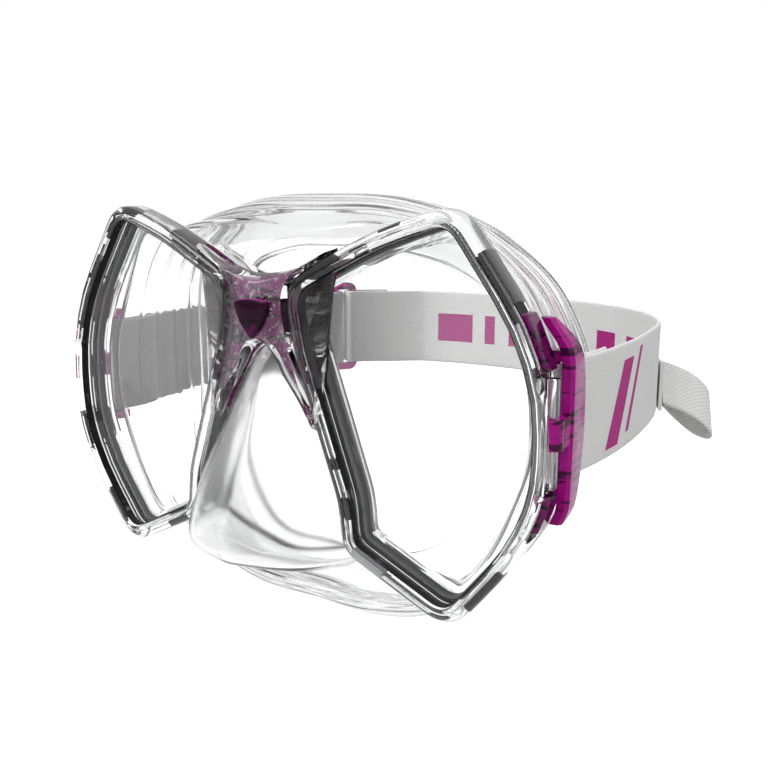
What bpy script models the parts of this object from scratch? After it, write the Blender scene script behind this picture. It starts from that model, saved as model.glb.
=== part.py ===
"""Twin-lens diving mask: clear frame, soft skirt, swivelling strap brackets and a woven head strap.

World axes: +X to the viewer's right, -Y out of the lenses, +Z up.  The mask is laid out in
millimetres about the wearer's eye line (DESIGN space) and then moved so that the centre of the
badge face is the origin.  Each half of the hard frame lies in a plane that sweeps back a little
from the nose; in that plane U runs outwards, V backwards and Z up.
"""
import math

import bmesh
import bpy
from mathutils import Matrix, Vector

MM = 0.001
GAP = 0.3                     # clearance between pieces that touch on the real mask

# --- overall layout ---------------------------------------------------------------------------
NOSE_PLANE_Y = -2.5           # front face of the frame on the symmetry plane
SWEEP_ANGLE = math.radians(3.7)
BADGE_CENTRE_Z = 23.0

# --- lens opening of the right half: corner (U, Z, fillet radius), clockwise -------------------
OPENING_CORNERS = (
    (12.4, 30.0, 7.0),
    (37.0, 42.4, 90.0),
    (55.4, 48.2, 6.0),
    (72.4, 24.0, 60.0),
    (78.2, 8.0, 60.0),
    (78.0, -15.0, 60.0),
    (70.8, -30.5, 60.0),
    (56.4, -48.6, 6.0),
    (29.7, -35.3, 4.0),
    (28.6, -24.0, 30.0),
    (15.2, 15.0, 40.0),
)
ARC_STEP = math.radians(11.0)

# --- rim, lens and lens seat -------------------------------------------------------------------
RIM_WIDTH = 4.2
RIM_DEPTH = 9.0
CUT_PAST = 1.0                # cutters run this far past the face that they open
LIP_DEPTH = 3.0
LENS_OVERLAP = 0.9            # how far the glass reaches under the lip
LENS_THICKNESS = 3.5
RETAINER_WIDTH = 1.7
SEAT_INSET = 2.0              # silicone seat reaches this far into the opening
SEAT_OVERHANG = 2.35
SEAT_THICKNESS = 3.0

# --- bridge ------------------------------------------------------------------------------------
BRIDGE_THICKNESS = 4.4
BRIDGE_HALF_WIDTH = 24.0
SADDLE_Z = 34.4
SADDLE_CURVE = 0.0125
ARCH_HALF = ((0.0, 16.0), (3.0, 14.6), (5.5, 11.6), (8.0, 7.3), (14.0, -1.0), (17.5, -7.0))
BRIDGE_CUT_DEPTH = 40.0       # the rims' outlines are cut through every bridge layer
INSERT_THICKNESS = 2.4
INSERT_MARGIN = 0.8
WEB_THICKNESS = 2.2
WEB_MARGIN = 1.6
BADGE_WIDTH = 12.4
BADGE_HEIGHT = 10.8
BADGE_THICKNESS = 1.9
BADGE_CORNER = 1.6
BADGE_TIP = 1.0
BADGE_CROWN = 1.0             # the top edge rises this far above the corners
BADGE_WAIST = 0.62            # half width at the waist, as a share of the top's

# --- side hinge --------------------------------------------------------------------------------
AXIS_U = 81.0
AXIS_V = 5.4
BAR_RADIUS = 1.5
NOTCH_HALF = 13.6
NOTCH_LIP = 1.2
HUB_RADIUS = 2.8
HUB_HEIGHT = 7.2
HUB_MOUTH = 0.7               # the hub is open this far inside the bar's centre
ARM_START = 0.5               # the arm leaves the hub this far behind the bar
ARM_OVERLAP = 3.0             # and runs this far into the crescent
NOTCH_REACH = 10.0

# --- side clips --------------------------------------------------------------------------------
CLIP_THICKNESS = 2.4
CLIP_SINK = 1.5
CLIP_FRONT = 2.0
CLIP_DEPTH = 6.6
CLIP_UPPER = (15.0, 28.0)
CLIP_LOWER = (-24.0, -15.0)

# --- strap brackets ----------------------------------------------------------------------------
BRACKET_CENTRE_Z = 1.5
BRACKET_HALF_HEIGHT = 25.5
BRACKET_FRONT_V = 9.6
BRACKET_BELLY = 10.8
BRACKET_THICKNESS = 3.0
BRACKET_STAND_OFF = 0.7
BRACKET_BLEND = 10.5
BRACKET_STATIONS = 26
BRACKET_TIP = 0.985           # the crescent's tips are cut off at this share of its half height
BRACKET_CROWN = 1.6
BRACKET_TIP_WIDTH = 0.9
BRACKET_EDGE = 0.9            # chamfer along the crescent's outer edges
ROD_RADIUS = 1.0
ROD_V = 16.0
LUG_HEIGHT = 2.6
LUG_CLEARANCE = 0.6           # beyond the strap's edges
LUG_HALF_DEPTH = 1.8
LUG_WALL = 0.9
LUG_OUTER = 1.2
ROD_SINK = 0.6                # share of the lug's height that the rod's socket takes

# --- strap -------------------------------------------------------------------------------------
STRAP_WIDTH = 30.0
STRAP_THICKNESS = 1.6
SPLIT_RADIUS = 20.5           # strap end turns with the bracket inside this radius
STRAP_PATH = (
    (79.6, 40.0),
    (80.2, 56.0),
    (79.2, 76.0),
    (76.6, 97.0),
    (73.0, 111.0),
    (66.5, 123.5),
    (58.0, 133.5),
    (47.0, 141.8),
    (32.0, 148.6),
    (12.0, 153.6),
    (-12.0, 154.8),
    (-32.0, 152.4),
    (-50.0, 146.0),
    (-64.0, 135.0),
    (-71.0, 122.0),
    (-75.0, 106.0),
    (-78.0, 84.0),
    (-79.8, 60.0),
    (-79.6, 40.0),
)
STRAP_STEP = 4.0
STRAP_TRIM_HEIGHT = 10.0      # the trimming cylinders are taller than the strap by this much
SPLIT_OVERLAP = 3.0           # the folded end is drawn past the split and trimmed back
HEM_LENGTH = 22.0
HEM_BOW = 0.9

# --- strap ring --------------------------------------------------------------------------------
RING_POSITION = 0.6995         # share of the strap's length, from the right bracket
RING_HEIGHT = 37.0
RING_LENGTH = 11.0
RING_BAR = 2.6
RING_THICKNESS = 2.4
RING_CORNER = 4.0
RING_SLOT_CORNER = 1.0
TAIL_LENGTH = 34.0
MAIN_RETURN = 15.0
FOLD_SETTLE = 16.0
FOLD_SLACK = 0.9              # a fold stands this far off the ring bar it wraps

# --- pull tab ----------------------------------------------------------------------------------
TAB_POSITION = 0.252
TAB_WIDTH = 16.0
TAB_THICKNESS = 1.3
TAB_LENGTH = 15.0
TAB_BULGE = 5.4
TAB_DROOP = math.radians(33.0)
TAB_ROLL = math.radians(-36.0)
TAB_DROP_Z = -7.0
TAB_PATCH_LENGTH = 12.0

# --- skirt -------------------------------------------------------------------------------------
SKIRT_THICKNESS = 2.0
SKIRT_STAND_OFF = 0.8
SKIRT_POINTS = 72
SKIRT_FRONT_HALF = (
    (0.0, 31.5),
    (20.0, 36.8),
    (38.0, 42.0),
    (52.0, 45.0),
    (58.5, 41.0),
    (66.8, 25.0),
    (72.9, 8.0),
    (72.9, -10.0),
    (66.5, -28.5),
    (57.5, -43.5),
    (50.0, -45.4),
    (31.0, -39.6),
    (15.0, -43.4),
    (0.0, -46.0),
)
SKIRT_REAR_HALF = (
    (0.0, 54.4, 38.0),
    (18.0, 54.0, 38.5),
    (31.0, 51.8, 40.0),
    (44.0, 47.6, 42.0),
    (54.0, 41.0, 45.0),
    (64.0, 31.0, 49.0),
    (70.0, 18.0, 53.0),
    (72.4, 6.0, 55.5),
    (72.4, -8.0, 55.5),
    (70.4, -22.0, 53.0),
    (65.5, -34.0, 49.0),
    (58.0, -46.5, 45.0),
    (47.0, -58.0, 40.0),
    (34.0, -65.0, 35.0),
    (18.0, -66.8, 31.0),
    (0.0, -65.5, 29.5),
)
SKIRT_ROWS = ((0.0, 0.0), (0.42, 0.13), (0.76, 0.32), (0.96, 0.55), (1.0, 0.75), (0.985, 0.93))
SEAL_THICKNESS = 1.2
SEAL_CENTRE_Z = -6.0
SEAL_ROWS = ((0.960, 0.960, -0.5), (0.93, 0.92, 2.6), (0.86, 0.83, 3.0), (0.79, 0.74, 1.8))
INNER_SEAL_ROWS = ((0.925, 0.925, -7.5), (0.87, 0.86, -5.4), (0.82, 0.80, -4.4))

# --- nose pocket: (Z, half width, ridge Y) down the ridge --------------------------------------
NOSE_ROWS = (
    (14.2, 2.2, 3.4),
    (12.0, 4.2, 0.6),
    (9.0, 6.0, -0.6),
    (4.0, 9.6, -2.2),
    (-4.0, 14.4, -4.8),
    (-13.0, 18.6, -8.6),
    (-22.0, 21.8, -13.0),
    (-30.0, 23.8, -16.4),
    (-36.0, 24.9, -17.8),
    (-39.4, 26.2, -16.8),
)
NOSE_FLOOR_ROWS = ((-41.2, 27.0, -14.2), (-42.4, 26.6, -8.6), (-43.0, 25.4, -2.0))
NOSE_ROOT_V = 11.0
NOSE_WALL = 1.6
NOSE_KEEL = 0.26
NOSE_SHOULDER = 6
NOSE_POINTS = 25

BADGE_FACE_Y = NOSE_PLANE_Y - GAP - BADGE_THICKNESS
SWEEP_SLOPE = math.tan(SWEEP_ANGLE)
SIDES = (("right", 1), ("left", -1))

COLOURS = {
    "clear_frame": ((0.90, 0.92, 0.92), 0.06),
    "glass": ((0.94, 0.97, 0.96), 0.03),
    "silicone": ((0.93, 0.94, 0.94), 0.22),
    "magenta": ((0.45, 0.012, 0.24), 0.14),
    "badge": ((0.12, 0.01, 0.08), 0.08),
    "webbing": ((0.58, 0.58, 0.575), 0.82),
}


# --- scene helpers -----------------------------------------------------------------------------
def clear_scene():
    """Remove every object that the opened file holds."""
    for thing in list(bpy.data.objects):
        bpy.data.objects.remove(thing, do_unlink=True)


def new_collection(name):
    """Return a fresh collection linked under the scene's root."""
    made = bpy.data.collections.new(name)
    bpy.context.scene.collection.children.link(made)
    return made


def material(name, kind):
    """A Principled material for one sub-part."""
    colour, roughness = COLOURS[kind]
    made = bpy.data.materials.new(name)
    made.use_nodes = True
    shader = made.node_tree.nodes["Principled BSDF"]
    shader.inputs["Base Color"].default_value = (*colour, 1.0)
    shader.inputs["Roughness"].default_value = roughness
    shader.inputs["Metallic"].default_value = 0.0
    return made


def keep(thing, name, kind, parent=None):
    """Name a finished sub-part, give it its material and put it in the part's collection."""
    thing.name = name
    thing.data.name = name
    thing.data.materials.clear()
    thing.data.materials.append(material(name, kind))
    PART.objects.link(thing)
    thing.parent = parent or ROOT
    return thing


def keep_cutter(thing, name, parent=None):
    """File a cutter in its own collection, hidden from renders."""
    thing.name = name
    CUTTERS.objects.link(thing)
    thing.parent = parent or ROOT
    thing.hide_render = True
    thing.display_type = "WIRE"
    return thing


def boolean(thing, cutter, operation="DIFFERENCE"):
    """Add an exact Boolean modifier."""
    step = thing.modifiers.new(operation.lower(), "BOOLEAN")
    step.solver = "EXACT"
    step.operation = operation
    step.object = cutter
    return step


def mesh_object(name, vertices, faces):
    """A mesh object from points in millimetres, its faces turned outwards."""
    mesh = bpy.data.meshes.new(name)
    mesh.from_pydata([Vector(point) * MM for point in vertices], [], faces)
    work = bmesh.new()
    work.from_mesh(mesh)
    bmesh.ops.recalc_face_normals(work, faces=work.faces)
    work.to_mesh(mesh)
    work.free()
    mesh.shade_smooth()
    mesh.set_sharp_from_angle(angle=math.radians(32.0))
    return bpy.data.objects.new(name, mesh)


def plate(outlines, thickness):
    """A flat plate from closed outlines (later ones are holes), centred on its thickness.

    The outline lies in local XY and the plate's thickness runs along local Z.
    """
    curve = bpy.data.curves.new("outline", "CURVE")
    curve.dimensions = "2D"
    curve.fill_mode = "BOTH"
    curve.extrude = thickness * MM / 2.0
    for outline in outlines:
        spline = curve.splines.new("POLY")
        spline.points.add(len(outline) - 1)
        for point, (across, up) in zip(spline.points, outline):
            point.co = (across * MM, up * MM, 0.0, 1.0)
        spline.use_cyclic_u = True
    guide = bpy.data.objects.new("outline", curve)
    bpy.context.scene.collection.objects.link(guide)
    bpy.context.view_layer.update()
    mesh = bpy.data.meshes.new_from_object(guide.evaluated_get(bpy.context.evaluated_depsgraph_get()))
    bpy.data.objects.remove(guide, do_unlink=True)
    bpy.data.curves.remove(curve)
    work = bmesh.new()
    work.from_mesh(mesh)
    bmesh.ops.remove_doubles(work, verts=work.verts, dist=1e-6)
    bmesh.ops.recalc_face_normals(work, faces=work.faces)
    work.to_mesh(mesh)
    work.free()
    mesh.shade_smooth()
    mesh.set_sharp_from_angle(angle=math.radians(32.0))
    return bpy.data.objects.new("plate", mesh)


def upright(thing, front, thickness):
    """Stand a plate up facing -Y with its front face at depth FRONT."""
    thing.matrix_local = Matrix.Translation((0.0, (front + thickness / 2.0) * MM, 0.0)) @ \
        Matrix.Rotation(math.pi / 2.0, 4, "X")
    return thing


def cylinder(radius, height, vertices=32):
    """A closed upright cylinder centred on the origin."""
    mesh = bpy.data.meshes.new("cylinder")
    work = bmesh.new()
    bmesh.ops.create_cone(work, cap_ends=True, segments=vertices, radius1=radius * MM,
                          radius2=radius * MM, depth=height * MM)
    work.to_mesh(mesh)
    work.free()
    mesh.shade_smooth()
    mesh.set_sharp_from_angle(angle=math.radians(32.0))
    return bpy.data.objects.new("cylinder", mesh)


def block(low, high):
    """An axis-aligned box between two corners in millimetres."""
    mesh = bpy.data.meshes.new("block")
    work = bmesh.new()
    size = [(top - bottom) * MM for bottom, top in zip(low, high)]
    middle = [(top + bottom) * MM / 2.0 for bottom, top in zip(low, high)]
    placed = Matrix.Translation(middle) @ Matrix.Diagonal((*size, 1.0))
    bmesh.ops.create_cube(work, size=1.0, matrix=placed)
    work.to_mesh(mesh)
    work.free()
    return bpy.data.objects.new("block", mesh)


# --- outline geometry --------------------------------------------------------------------------
def rounded_outline(corners, grow=0.0):
    """Fillet a clockwise polygon's corners; GROW moves every edge outwards first."""
    count = len(corners)
    moved = []
    for index in range(count):
        before = Vector(corners[index - 1][:2])
        here = Vector(corners[index][:2])
        after = Vector(corners[(index + 1) % count][:2])
        edge_in = (here - before).normalized()
        edge_out = (after - here).normalized()
        normal_in = Vector((-edge_in.y, edge_in.x))
        normal_out = Vector((-edge_out.y, edge_out.x))
        bisector = normal_in + normal_out
        turn = edge_in.x * edge_out.y - edge_in.y * edge_out.x
        convex = turn < 0.0
        radius = corners[index][2] + (grow if convex else -grow)
        moved.append((here + bisector * (2.0 * grow / bisector.length_squared), max(radius, 0.4)))
    points = []
    for index in range(count):
        before, here, after = moved[index - 1][0], moved[index][0], moved[(index + 1) % count][0]
        edge_in = (here - before).normalized()
        edge_out = (after - here).normalized()
        angle = edge_in.angle(edge_out)
        reach = min(moved[index][1] * math.tan(angle / 2.0),
                    0.49 * (here - before).length, 0.49 * (after - here).length)
        start = here - edge_in * reach
        end = here + edge_out * reach
        steps = max(2, math.ceil(angle / ARC_STEP))
        for step in range(steps + 1):
            share = step / steps
            a, b, c = (1 - share) ** 2, 2 * share * (1 - share), share ** 2
            points.append(start * a + here * b + end * c)
    return [(point.x, point.y) for point in points]


def side_outline(side, grow=0.0):
    """The lens opening's outline on one side of the mask, grown outwards."""
    points = rounded_outline(OPENING_CORNERS, grow)
    return [(side * across, up) for across, up in points]


def outer_u(height):
    """How far out the rim's outer edge lies at a given height."""
    outline = side_outline(1, RIM_WIDTH)
    reach = 0.0
    for index, (u_a, z_a) in enumerate(outline):
        u_b, z_b = outline[(index + 1) % len(outline)]
        if (z_a - height) * (z_b - height) <= 0.0 and z_a != z_b:
            share = (height - z_a) / (z_b - z_a)
            reach = max(reach, u_a + share * (u_b - u_a))
    return reach


def spline_points(knots, closed=False, per_span=6):
    """Catmull-Rom points through the knots."""
    count = len(knots)
    knots = [Vector(knot) for knot in knots]
    points = []
    spans = count if closed else count - 1
    for index in range(spans):
        p1, p2 = knots[index], knots[(index + 1) % count]
        p0 = knots[index - 1] if closed or index > 0 else p1 * 2.0 - p2
        p3 = knots[(index + 2) % count] if closed or index + 2 < count else p2 * 2.0 - p1
        for step in range(per_span):
            t = step / per_span
            points.append(0.5 * (2.0 * p1 + (p2 - p0) * t + (2.0 * p0 - 5.0 * p1 + 4.0 * p2 - p3) * t * t
                                 + (3.0 * p1 - p0 - 3.0 * p2 + p3) * t ** 3))
    if not closed:
        points.append(knots[-1])
    return points


def resample(points, count, closed=False):
    """COUNT points at even spacing along a polyline."""
    chain = points + [points[0]] if closed else points
    lengths = [0.0]
    for first, second in zip(chain, chain[1:]):
        lengths.append(lengths[-1] + (second - first).length)
    spacing = lengths[-1] / (count if closed else count - 1)
    result = []
    place = 0
    for index in range(count):
        target = min(index * spacing, lengths[-1])
        while place < len(lengths) - 2 and lengths[place + 1] < target:
            place += 1
        span = lengths[place + 1] - lengths[place]
        share = (target - lengths[place]) / span if span else 0.0
        result.append(chain[place].lerp(chain[place + 1], share))
    return result


def mirrored_loop(half):
    """A closed symmetric loop from its right half, which starts and ends on the symmetry plane."""
    left = [(-point[0], *point[1:]) for point in reversed(half[1:-1])]
    return list(half) + left


# --- swept halves ------------------------------------------------------------------------------
def half_frame(name, side):
    """Empty whose local X, Y and Z are the half's U, V and Z."""
    empty = bpy.data.objects.new(name, None)
    PART.objects.link(empty)
    empty.parent = ROOT
    empty.matrix_local = Matrix.Translation((0.0, NOSE_PLANE_Y * MM, 0.0)) @ \
        Matrix.Rotation(side * SWEEP_ANGLE, 4, "Z")
    return empty


def plane_y(across, depth):
    """Design-space Y of a point at DEPTH behind the swept front face."""
    return NOSE_PLANE_Y + abs(across) * SWEEP_SLOPE + depth


def rim(side, word, frame):
    """One rim: front lip, pocket for the glass, notch for the hinge bar, recesses for the clips."""
    body = upright(plate([side_outline(side, RIM_WIDTH), side_outline(side)], RIM_DEPTH), 0.0, RIM_DEPTH)
    keep(body, f"frame_rim_{word}", "clear_frame", frame)
    pocket_depth = RIM_DEPTH - LIP_DEPTH + CUT_PAST
    pocket = upright(plate([side_outline(side, LENS_OVERLAP + GAP)], pocket_depth), LIP_DEPTH, pocket_depth)
    boolean(body, keep_cutter(pocket, f"pocket_{word}", frame))
    notch_u = AXIS_U - BAR_RADIUS - GAP
    low_u, high_u = sorted((side * notch_u, side * (AXIS_U + NOTCH_REACH)))
    notch = block((low_u, NOTCH_LIP, -NOTCH_HALF), (high_u, RIM_DEPTH + CUT_PAST, NOTCH_HALF))
    boolean(body, keep_cutter(notch, f"notch_{word}", frame))
    for level, span in (("upper", CLIP_UPPER), ("lower", CLIP_LOWER)):
        recess = clip_solid(side, span, GAP)
        boolean(body, keep_cutter(recess, f"recess_{level}_{word}", frame))
    return body


def clip_solid(side, span, slack):
    """A strip that follows the rim's outer side between two heights, with SLACK all round."""
    inner = RIM_WIDTH - CLIP_SINK - slack
    outer = RIM_WIDTH - CLIP_SINK + CLIP_THICKNESS + slack
    low, high = span[0] - slack, span[1] + slack
    steps = 7
    heights = [low + (high - low) * step / (steps - 1) for step in range(steps)]
    shift = RIM_WIDTH
    outward = [(side * (outer_u(height) + outer - shift), height) for height in heights]
    inward = [(side * (outer_u(height) + inner - shift), height) for height in reversed(heights)]
    depth = CLIP_DEPTH + 2.0 * slack
    return upright(plate([outward + inward], depth), CLIP_FRONT - slack, depth)


def lens_parts(side, word, frame):
    """Tempered glass, its hard retainer and the silicone seat behind the rim."""
    front = LIP_DEPTH + GAP
    lens = upright(plate([side_outline(side, LENS_OVERLAP)], LENS_THICKNESS), front, LENS_THICKNESS)
    keep(lens, f"lens_{word}", "glass", frame)
    ring_front = front + LENS_THICKNESS + GAP
    ring_depth = RIM_DEPTH - ring_front
    ring = plate([side_outline(side, LENS_OVERLAP), side_outline(side, LENS_OVERLAP - RETAINER_WIDTH)],
                 ring_depth)
    keep(upright(ring, ring_front, ring_depth), f"lens_retainer_{word}", "clear_frame", frame)
    seat = plate([side_outline(side, SEAT_OVERHANG), side_outline(side, -SEAT_INSET)], SEAT_THICKNESS)
    keep(upright(seat, RIM_DEPTH + GAP, SEAT_THICKNESS), f"lens_seat_{word}", "silicone", frame)


def hinge_bar(word, side, frame):
    """Clear vertical bar in the rim's notch that the bracket swings on."""
    bar = cylinder(BAR_RADIUS, 2.0 * (NOTCH_HALF - GAP), 24)
    bar.location = (side * AXIS_U * MM, AXIS_V * MM, 0.0)
    return keep(bar, f"pivot_bar_{word}", "clear_frame", frame)


# --- bridge ------------------------------------------------------------------------------------
def bridge_outline(margin):
    """X-shaped field between the saddle and the nose arch, shrunk by MARGIN."""
    steps = 12
    half_width = BRIDGE_HALF_WIDTH - margin
    top = []
    for step in range(-steps, steps + 1):
        across = half_width * step / steps
        top.append((across, SADDLE_Z + SADDLE_CURVE * across ** 2 - margin))
    lower_half = spline_points([Vector(point) for point in ARCH_HALF[:4]], per_span=3)
    lower_half += [Vector(point) for point in ARCH_HALF[4:]]
    right = [(point.x + margin * (index > 0), point.y + margin) for index, point in enumerate(lower_half)]
    left = [(-across, up) for across, up in reversed(right[1:])]
    return top + right[::-1] + left


def bridge_layer(name, kind, front, thickness, margin, clearance):
    """One layer of the bridge: the X field with both rims' outlines cut away."""
    layer = upright(plate([bridge_outline(margin)], thickness), front, thickness)
    keep(layer, name, kind)
    for word, side in SIDES:
        outline = side_outline(side, clearance)
        cutter = upright(plate([outline], BRIDGE_CUT_DEPTH), -BRIDGE_CUT_DEPTH / 2.0, BRIDGE_CUT_DEPTH)
        keep_cutter(cutter, f"{name}_cut_{word}", HALVES[word])
        boolean(layer, cutter)
    return layer


def badge():
    """Three-cornered badge with a rounded top edge."""
    half = BADGE_WIDTH / 2.0
    top = BADGE_CENTRE_Z + BADGE_HEIGHT * 0.42
    waist = BADGE_CENTRE_Z - BADGE_HEIGHT * 0.16
    corners = (
        (-half, top - BADGE_CROWN * 0.4, BADGE_CORNER),
        (0.0, top + BADGE_CROWN * 0.6, half * 3.2),
        (half, top - BADGE_CROWN * 0.4, BADGE_CORNER),
        (half * BADGE_WAIST, waist, half * 1.3),
        (0.0, BADGE_CENTRE_Z - BADGE_HEIGHT * 0.58, BADGE_TIP),
        (-half * BADGE_WAIST, waist, half * 1.3),
    )
    made = upright(plate([rounded_outline(corners)], BADGE_THICKNESS), BADGE_FACE_Y, BADGE_THICKNESS)
    return keep(made, "bridge_badge", "badge")


# --- strap bracket -----------------------------------------------------------------------------
def pivot_empty(side, word, frame):
    """Empty on the hinge axis; the pieces that turn hang from it."""
    empty = bpy.data.objects.new(f"pivot_{word}", None)
    PART.objects.link(empty)
    empty.parent = frame
    empty.location = (side * AXIS_U * MM, AXIS_V * MM, 0.0)
    return empty


def about_pivot(thing, side):
    """Express a solid laid out in the half's plane about the hinge axis."""
    thing.matrix_local = Matrix.Translation((-side * AXIS_U * MM, -AXIS_V * MM, 0.0)) @ thing.matrix_local
    return thing


def crescent(side):
    """Crescent plate that follows the rim's side: a half-ellipse belly behind a straight front."""
    vertices = []
    for step in range(BRACKET_STATIONS + 1):
        share = BRACKET_TIP * (2.0 * step / BRACKET_STATIONS - 1.0)
        height = BRACKET_CENTRE_Z + BRACKET_HALF_HEIGHT * share
        follow = min(AXIS_U, outer_u(height) + BRACKET_STAND_OFF)
        past_strap = (abs(height) - STRAP_WIDTH / 2.0 - GAP) / BRACKET_BLEND
        past_strap = min(1.0, max(0.0, past_strap))
        past_strap = past_strap * past_strap * (3.0 - 2.0 * past_strap)
        inner = AXIS_U + (follow - AXIS_U) * past_strap
        front = BRACKET_FRONT_V + BRACKET_CROWN * (1.0 - share ** 2)
        back = BRACKET_FRONT_V + BRACKET_TIP_WIDTH + BRACKET_BELLY * math.sqrt(1.0 - share ** 2)
        edge = BRACKET_EDGE
        section = (
            (inner, front),
            (inner + BRACKET_THICKNESS - edge, front),
            (inner + BRACKET_THICKNESS, front + edge),
            (inner + BRACKET_THICKNESS, back - edge),
            (inner + BRACKET_THICKNESS - edge, back),
            (inner, back),
        )
        vertices += [(side * u, v, height) for u, v in section]
    ring = 6
    faces = [tuple(range(ring)), tuple(range(len(vertices) - 1, len(vertices) - 1 - ring, -1))]
    for step in range(BRACKET_STATIONS):
        for corner in range(ring):
            first = step * ring + corner
            second = step * ring + (corner + 1) % ring
            faces.append((first, second, second + ring, first + ring))
    return mesh_object("crescent", vertices, faces)


def bracket(side, word, frame, pivot):
    """Crescent with the hub that snaps on the bar and the lugs that carry the strap rod."""
    body = keep(about_pivot(crescent(side), side), f"bracket_{word}", "magenta", pivot)
    hub = cylinder(HUB_RADIUS, HUB_HEIGHT, 32)
    keep_cutter(hub, f"hub_{word}", pivot)
    arm_u = sorted((side * -0.2, side * (BRACKET_THICKNESS - 0.6)))
    arm = block((arm_u[0], BAR_RADIUS + ARM_START, -HUB_HEIGHT / 2.0),
                (arm_u[1], BRACKET_FRONT_V - AXIS_V + ARM_OVERLAP, HUB_HEIGHT / 2.0))
    keep_cutter(arm, f"arm_{word}", pivot)
    boolean(body, hub, "UNION")
    boolean(body, arm, "UNION")
    for level, direction in (("upper", 1), ("lower", -1)):
        near = STRAP_WIDTH / 2.0 + LUG_CLEARANCE
        span = sorted((direction * near, direction * (near + LUG_HEIGHT)))
        low_u, high_u = sorted((side * (ROD_U - AXIS_U - ROD_RADIUS - LUG_WALL), side * LUG_OUTER))
        lug = block((low_u, ROD_V - AXIS_V - LUG_HALF_DEPTH, span[0]),
                    (high_u, ROD_V - AXIS_V + LUG_HALF_DEPTH, span[1]))
        boolean(body, keep_cutter(lug, f"lug_{level}_{word}", pivot), "UNION")
    bore = cylinder(BAR_RADIUS + GAP, HUB_HEIGHT + 4.0 * CUT_PAST, 32)
    boolean(body, keep_cutter(bore, f"bore_{word}", pivot))
    mouth_u = sorted((side * -HUB_MOUTH, side * -NOTCH_REACH))
    mouth = block((mouth_u[0], -HUB_RADIUS - CUT_PAST, -HUB_HEIGHT / 2.0 - CUT_PAST),
                  (mouth_u[1], HUB_RADIUS + CUT_PAST, HUB_HEIGHT / 2.0 + CUT_PAST))
    boolean(body, keep_cutter(mouth, f"mouth_{word}", pivot))
    reach = LUG_CLEARANCE + LUG_HEIGHT * ROD_SINK
    socket = cylinder(ROD_RADIUS + GAP, STRAP_WIDTH + 2.0 * reach, 20)
    socket.location = (side * (ROD_U - AXIS_U) * MM, (ROD_V - AXIS_V) * MM, 0.0)
    boolean(body, keep_cutter(socket, f"rod_socket_{word}", pivot))
    rod = cylinder(ROD_RADIUS, STRAP_WIDTH + 2.0 * (reach - GAP), 16)
    rod.location = socket.location
    keep(rod, f"strap_rod_{word}", "magenta", pivot)
    return body


def strap_end(side, word, pivot):
    """Strap's folded end: two plies joined round the rod, trimmed round the hinge axis."""
    offset = ROD_RADIUS + GAP
    turns = 8
    reach = SPLIT_RADIUS + SPLIT_OVERLAP
    outside = offset + STRAP_THICKNESS
    outer, inner = [], []
    for step in range(turns + 1):
        angle = math.pi * step / turns
        outer.append((math.cos(angle) * outside, -math.sin(angle) * outside))
        inner.append((math.cos(angle) * offset, -math.sin(angle) * offset))
    path = [(outside, reach)] + outer + [(-outside, reach)]
    path += [(-offset, reach)] + inner[::-1] + [(offset, reach)]
    centre_u, centre_v = ROD_U - AXIS_U, ROD_V - AXIS_V
    outline = [(side * (centre_u + across), centre_v + deep) for across, deep in path]
    body = keep(plate([outline], STRAP_WIDTH), f"strap_end_{word}", "webbing", pivot)
    disc = cylinder(SPLIT_RADIUS, STRAP_WIDTH + STRAP_TRIM_HEIGHT, 96)
    boolean(body, keep_cutter(disc, f"strap_end_trim_{word}", pivot), "INTERSECT")
    return body


# --- strap -------------------------------------------------------------------------------------
def ribbon_outline(path, thickness):
    """Closed plan outline of a ribbon about its centre line."""
    near, far = [], []
    for index, point in enumerate(path):
        before = path[max(index - 1, 0)]
        after = path[min(index + 1, len(path) - 1)]
        along = (after - before).normalized()
        normal = Vector((-along.y, along.x))
        near.append(point + normal * thickness / 2.0)
        far.append(point - normal * thickness / 2.0)
    return [(point.x, point.y) for point in near + far[::-1]]


def strap_line():
    """Centre line of the whole strap in plan, from the right bracket round to the left one."""
    ply_u = ROD_U + ROD_RADIUS + GAP + STRAP_THICKNESS / 2.0
    knots = [split_point(1, ply_u), *STRAP_PATH, split_point(-1, ply_u)]
    fine = spline_points([Vector(knot) for knot in knots], per_span=12)
    length = sum((b - a).length for a, b in zip(fine, fine[1:]))
    return resample(fine, max(3, round(length / 0.5))), length


def split_point(side, across):
    """Design-space plan point where a ply at ACROSS meets the split circle's inside."""
    deep = AXIS_V + math.sqrt(SPLIT_RADIUS ** 2 - (across - AXIS_U) ** 2) - 2.0
    return (side * (across * math.cos(SWEEP_ANGLE) - deep * math.sin(SWEEP_ANGLE)),
            NOSE_PLANE_Y + across * math.sin(SWEEP_ANGLE) + deep * math.cos(SWEEP_ANGLE))


def stretch(line, start, end, step=STRAP_STEP):
    """The line between two shares of its length, resampled."""
    first, last = round(start * (len(line) - 1)), round(end * (len(line) - 1))
    piece = line[first:last + 1]
    length = sum((b - a).length for a, b in zip(piece, piece[1:]))
    return resample(piece, max(3, round(length / step) + 1))


def shifted(path, distance):
    """The path moved sideways by DISTANCE, positive to its left."""
    moved = []
    for index, point in enumerate(path):
        along = (path[min(index + 1, len(path) - 1)] - path[max(index - 1, 0)]).normalized()
        moved.append(point + Vector((-along.y, along.x)) * distance)
    return moved


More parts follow.
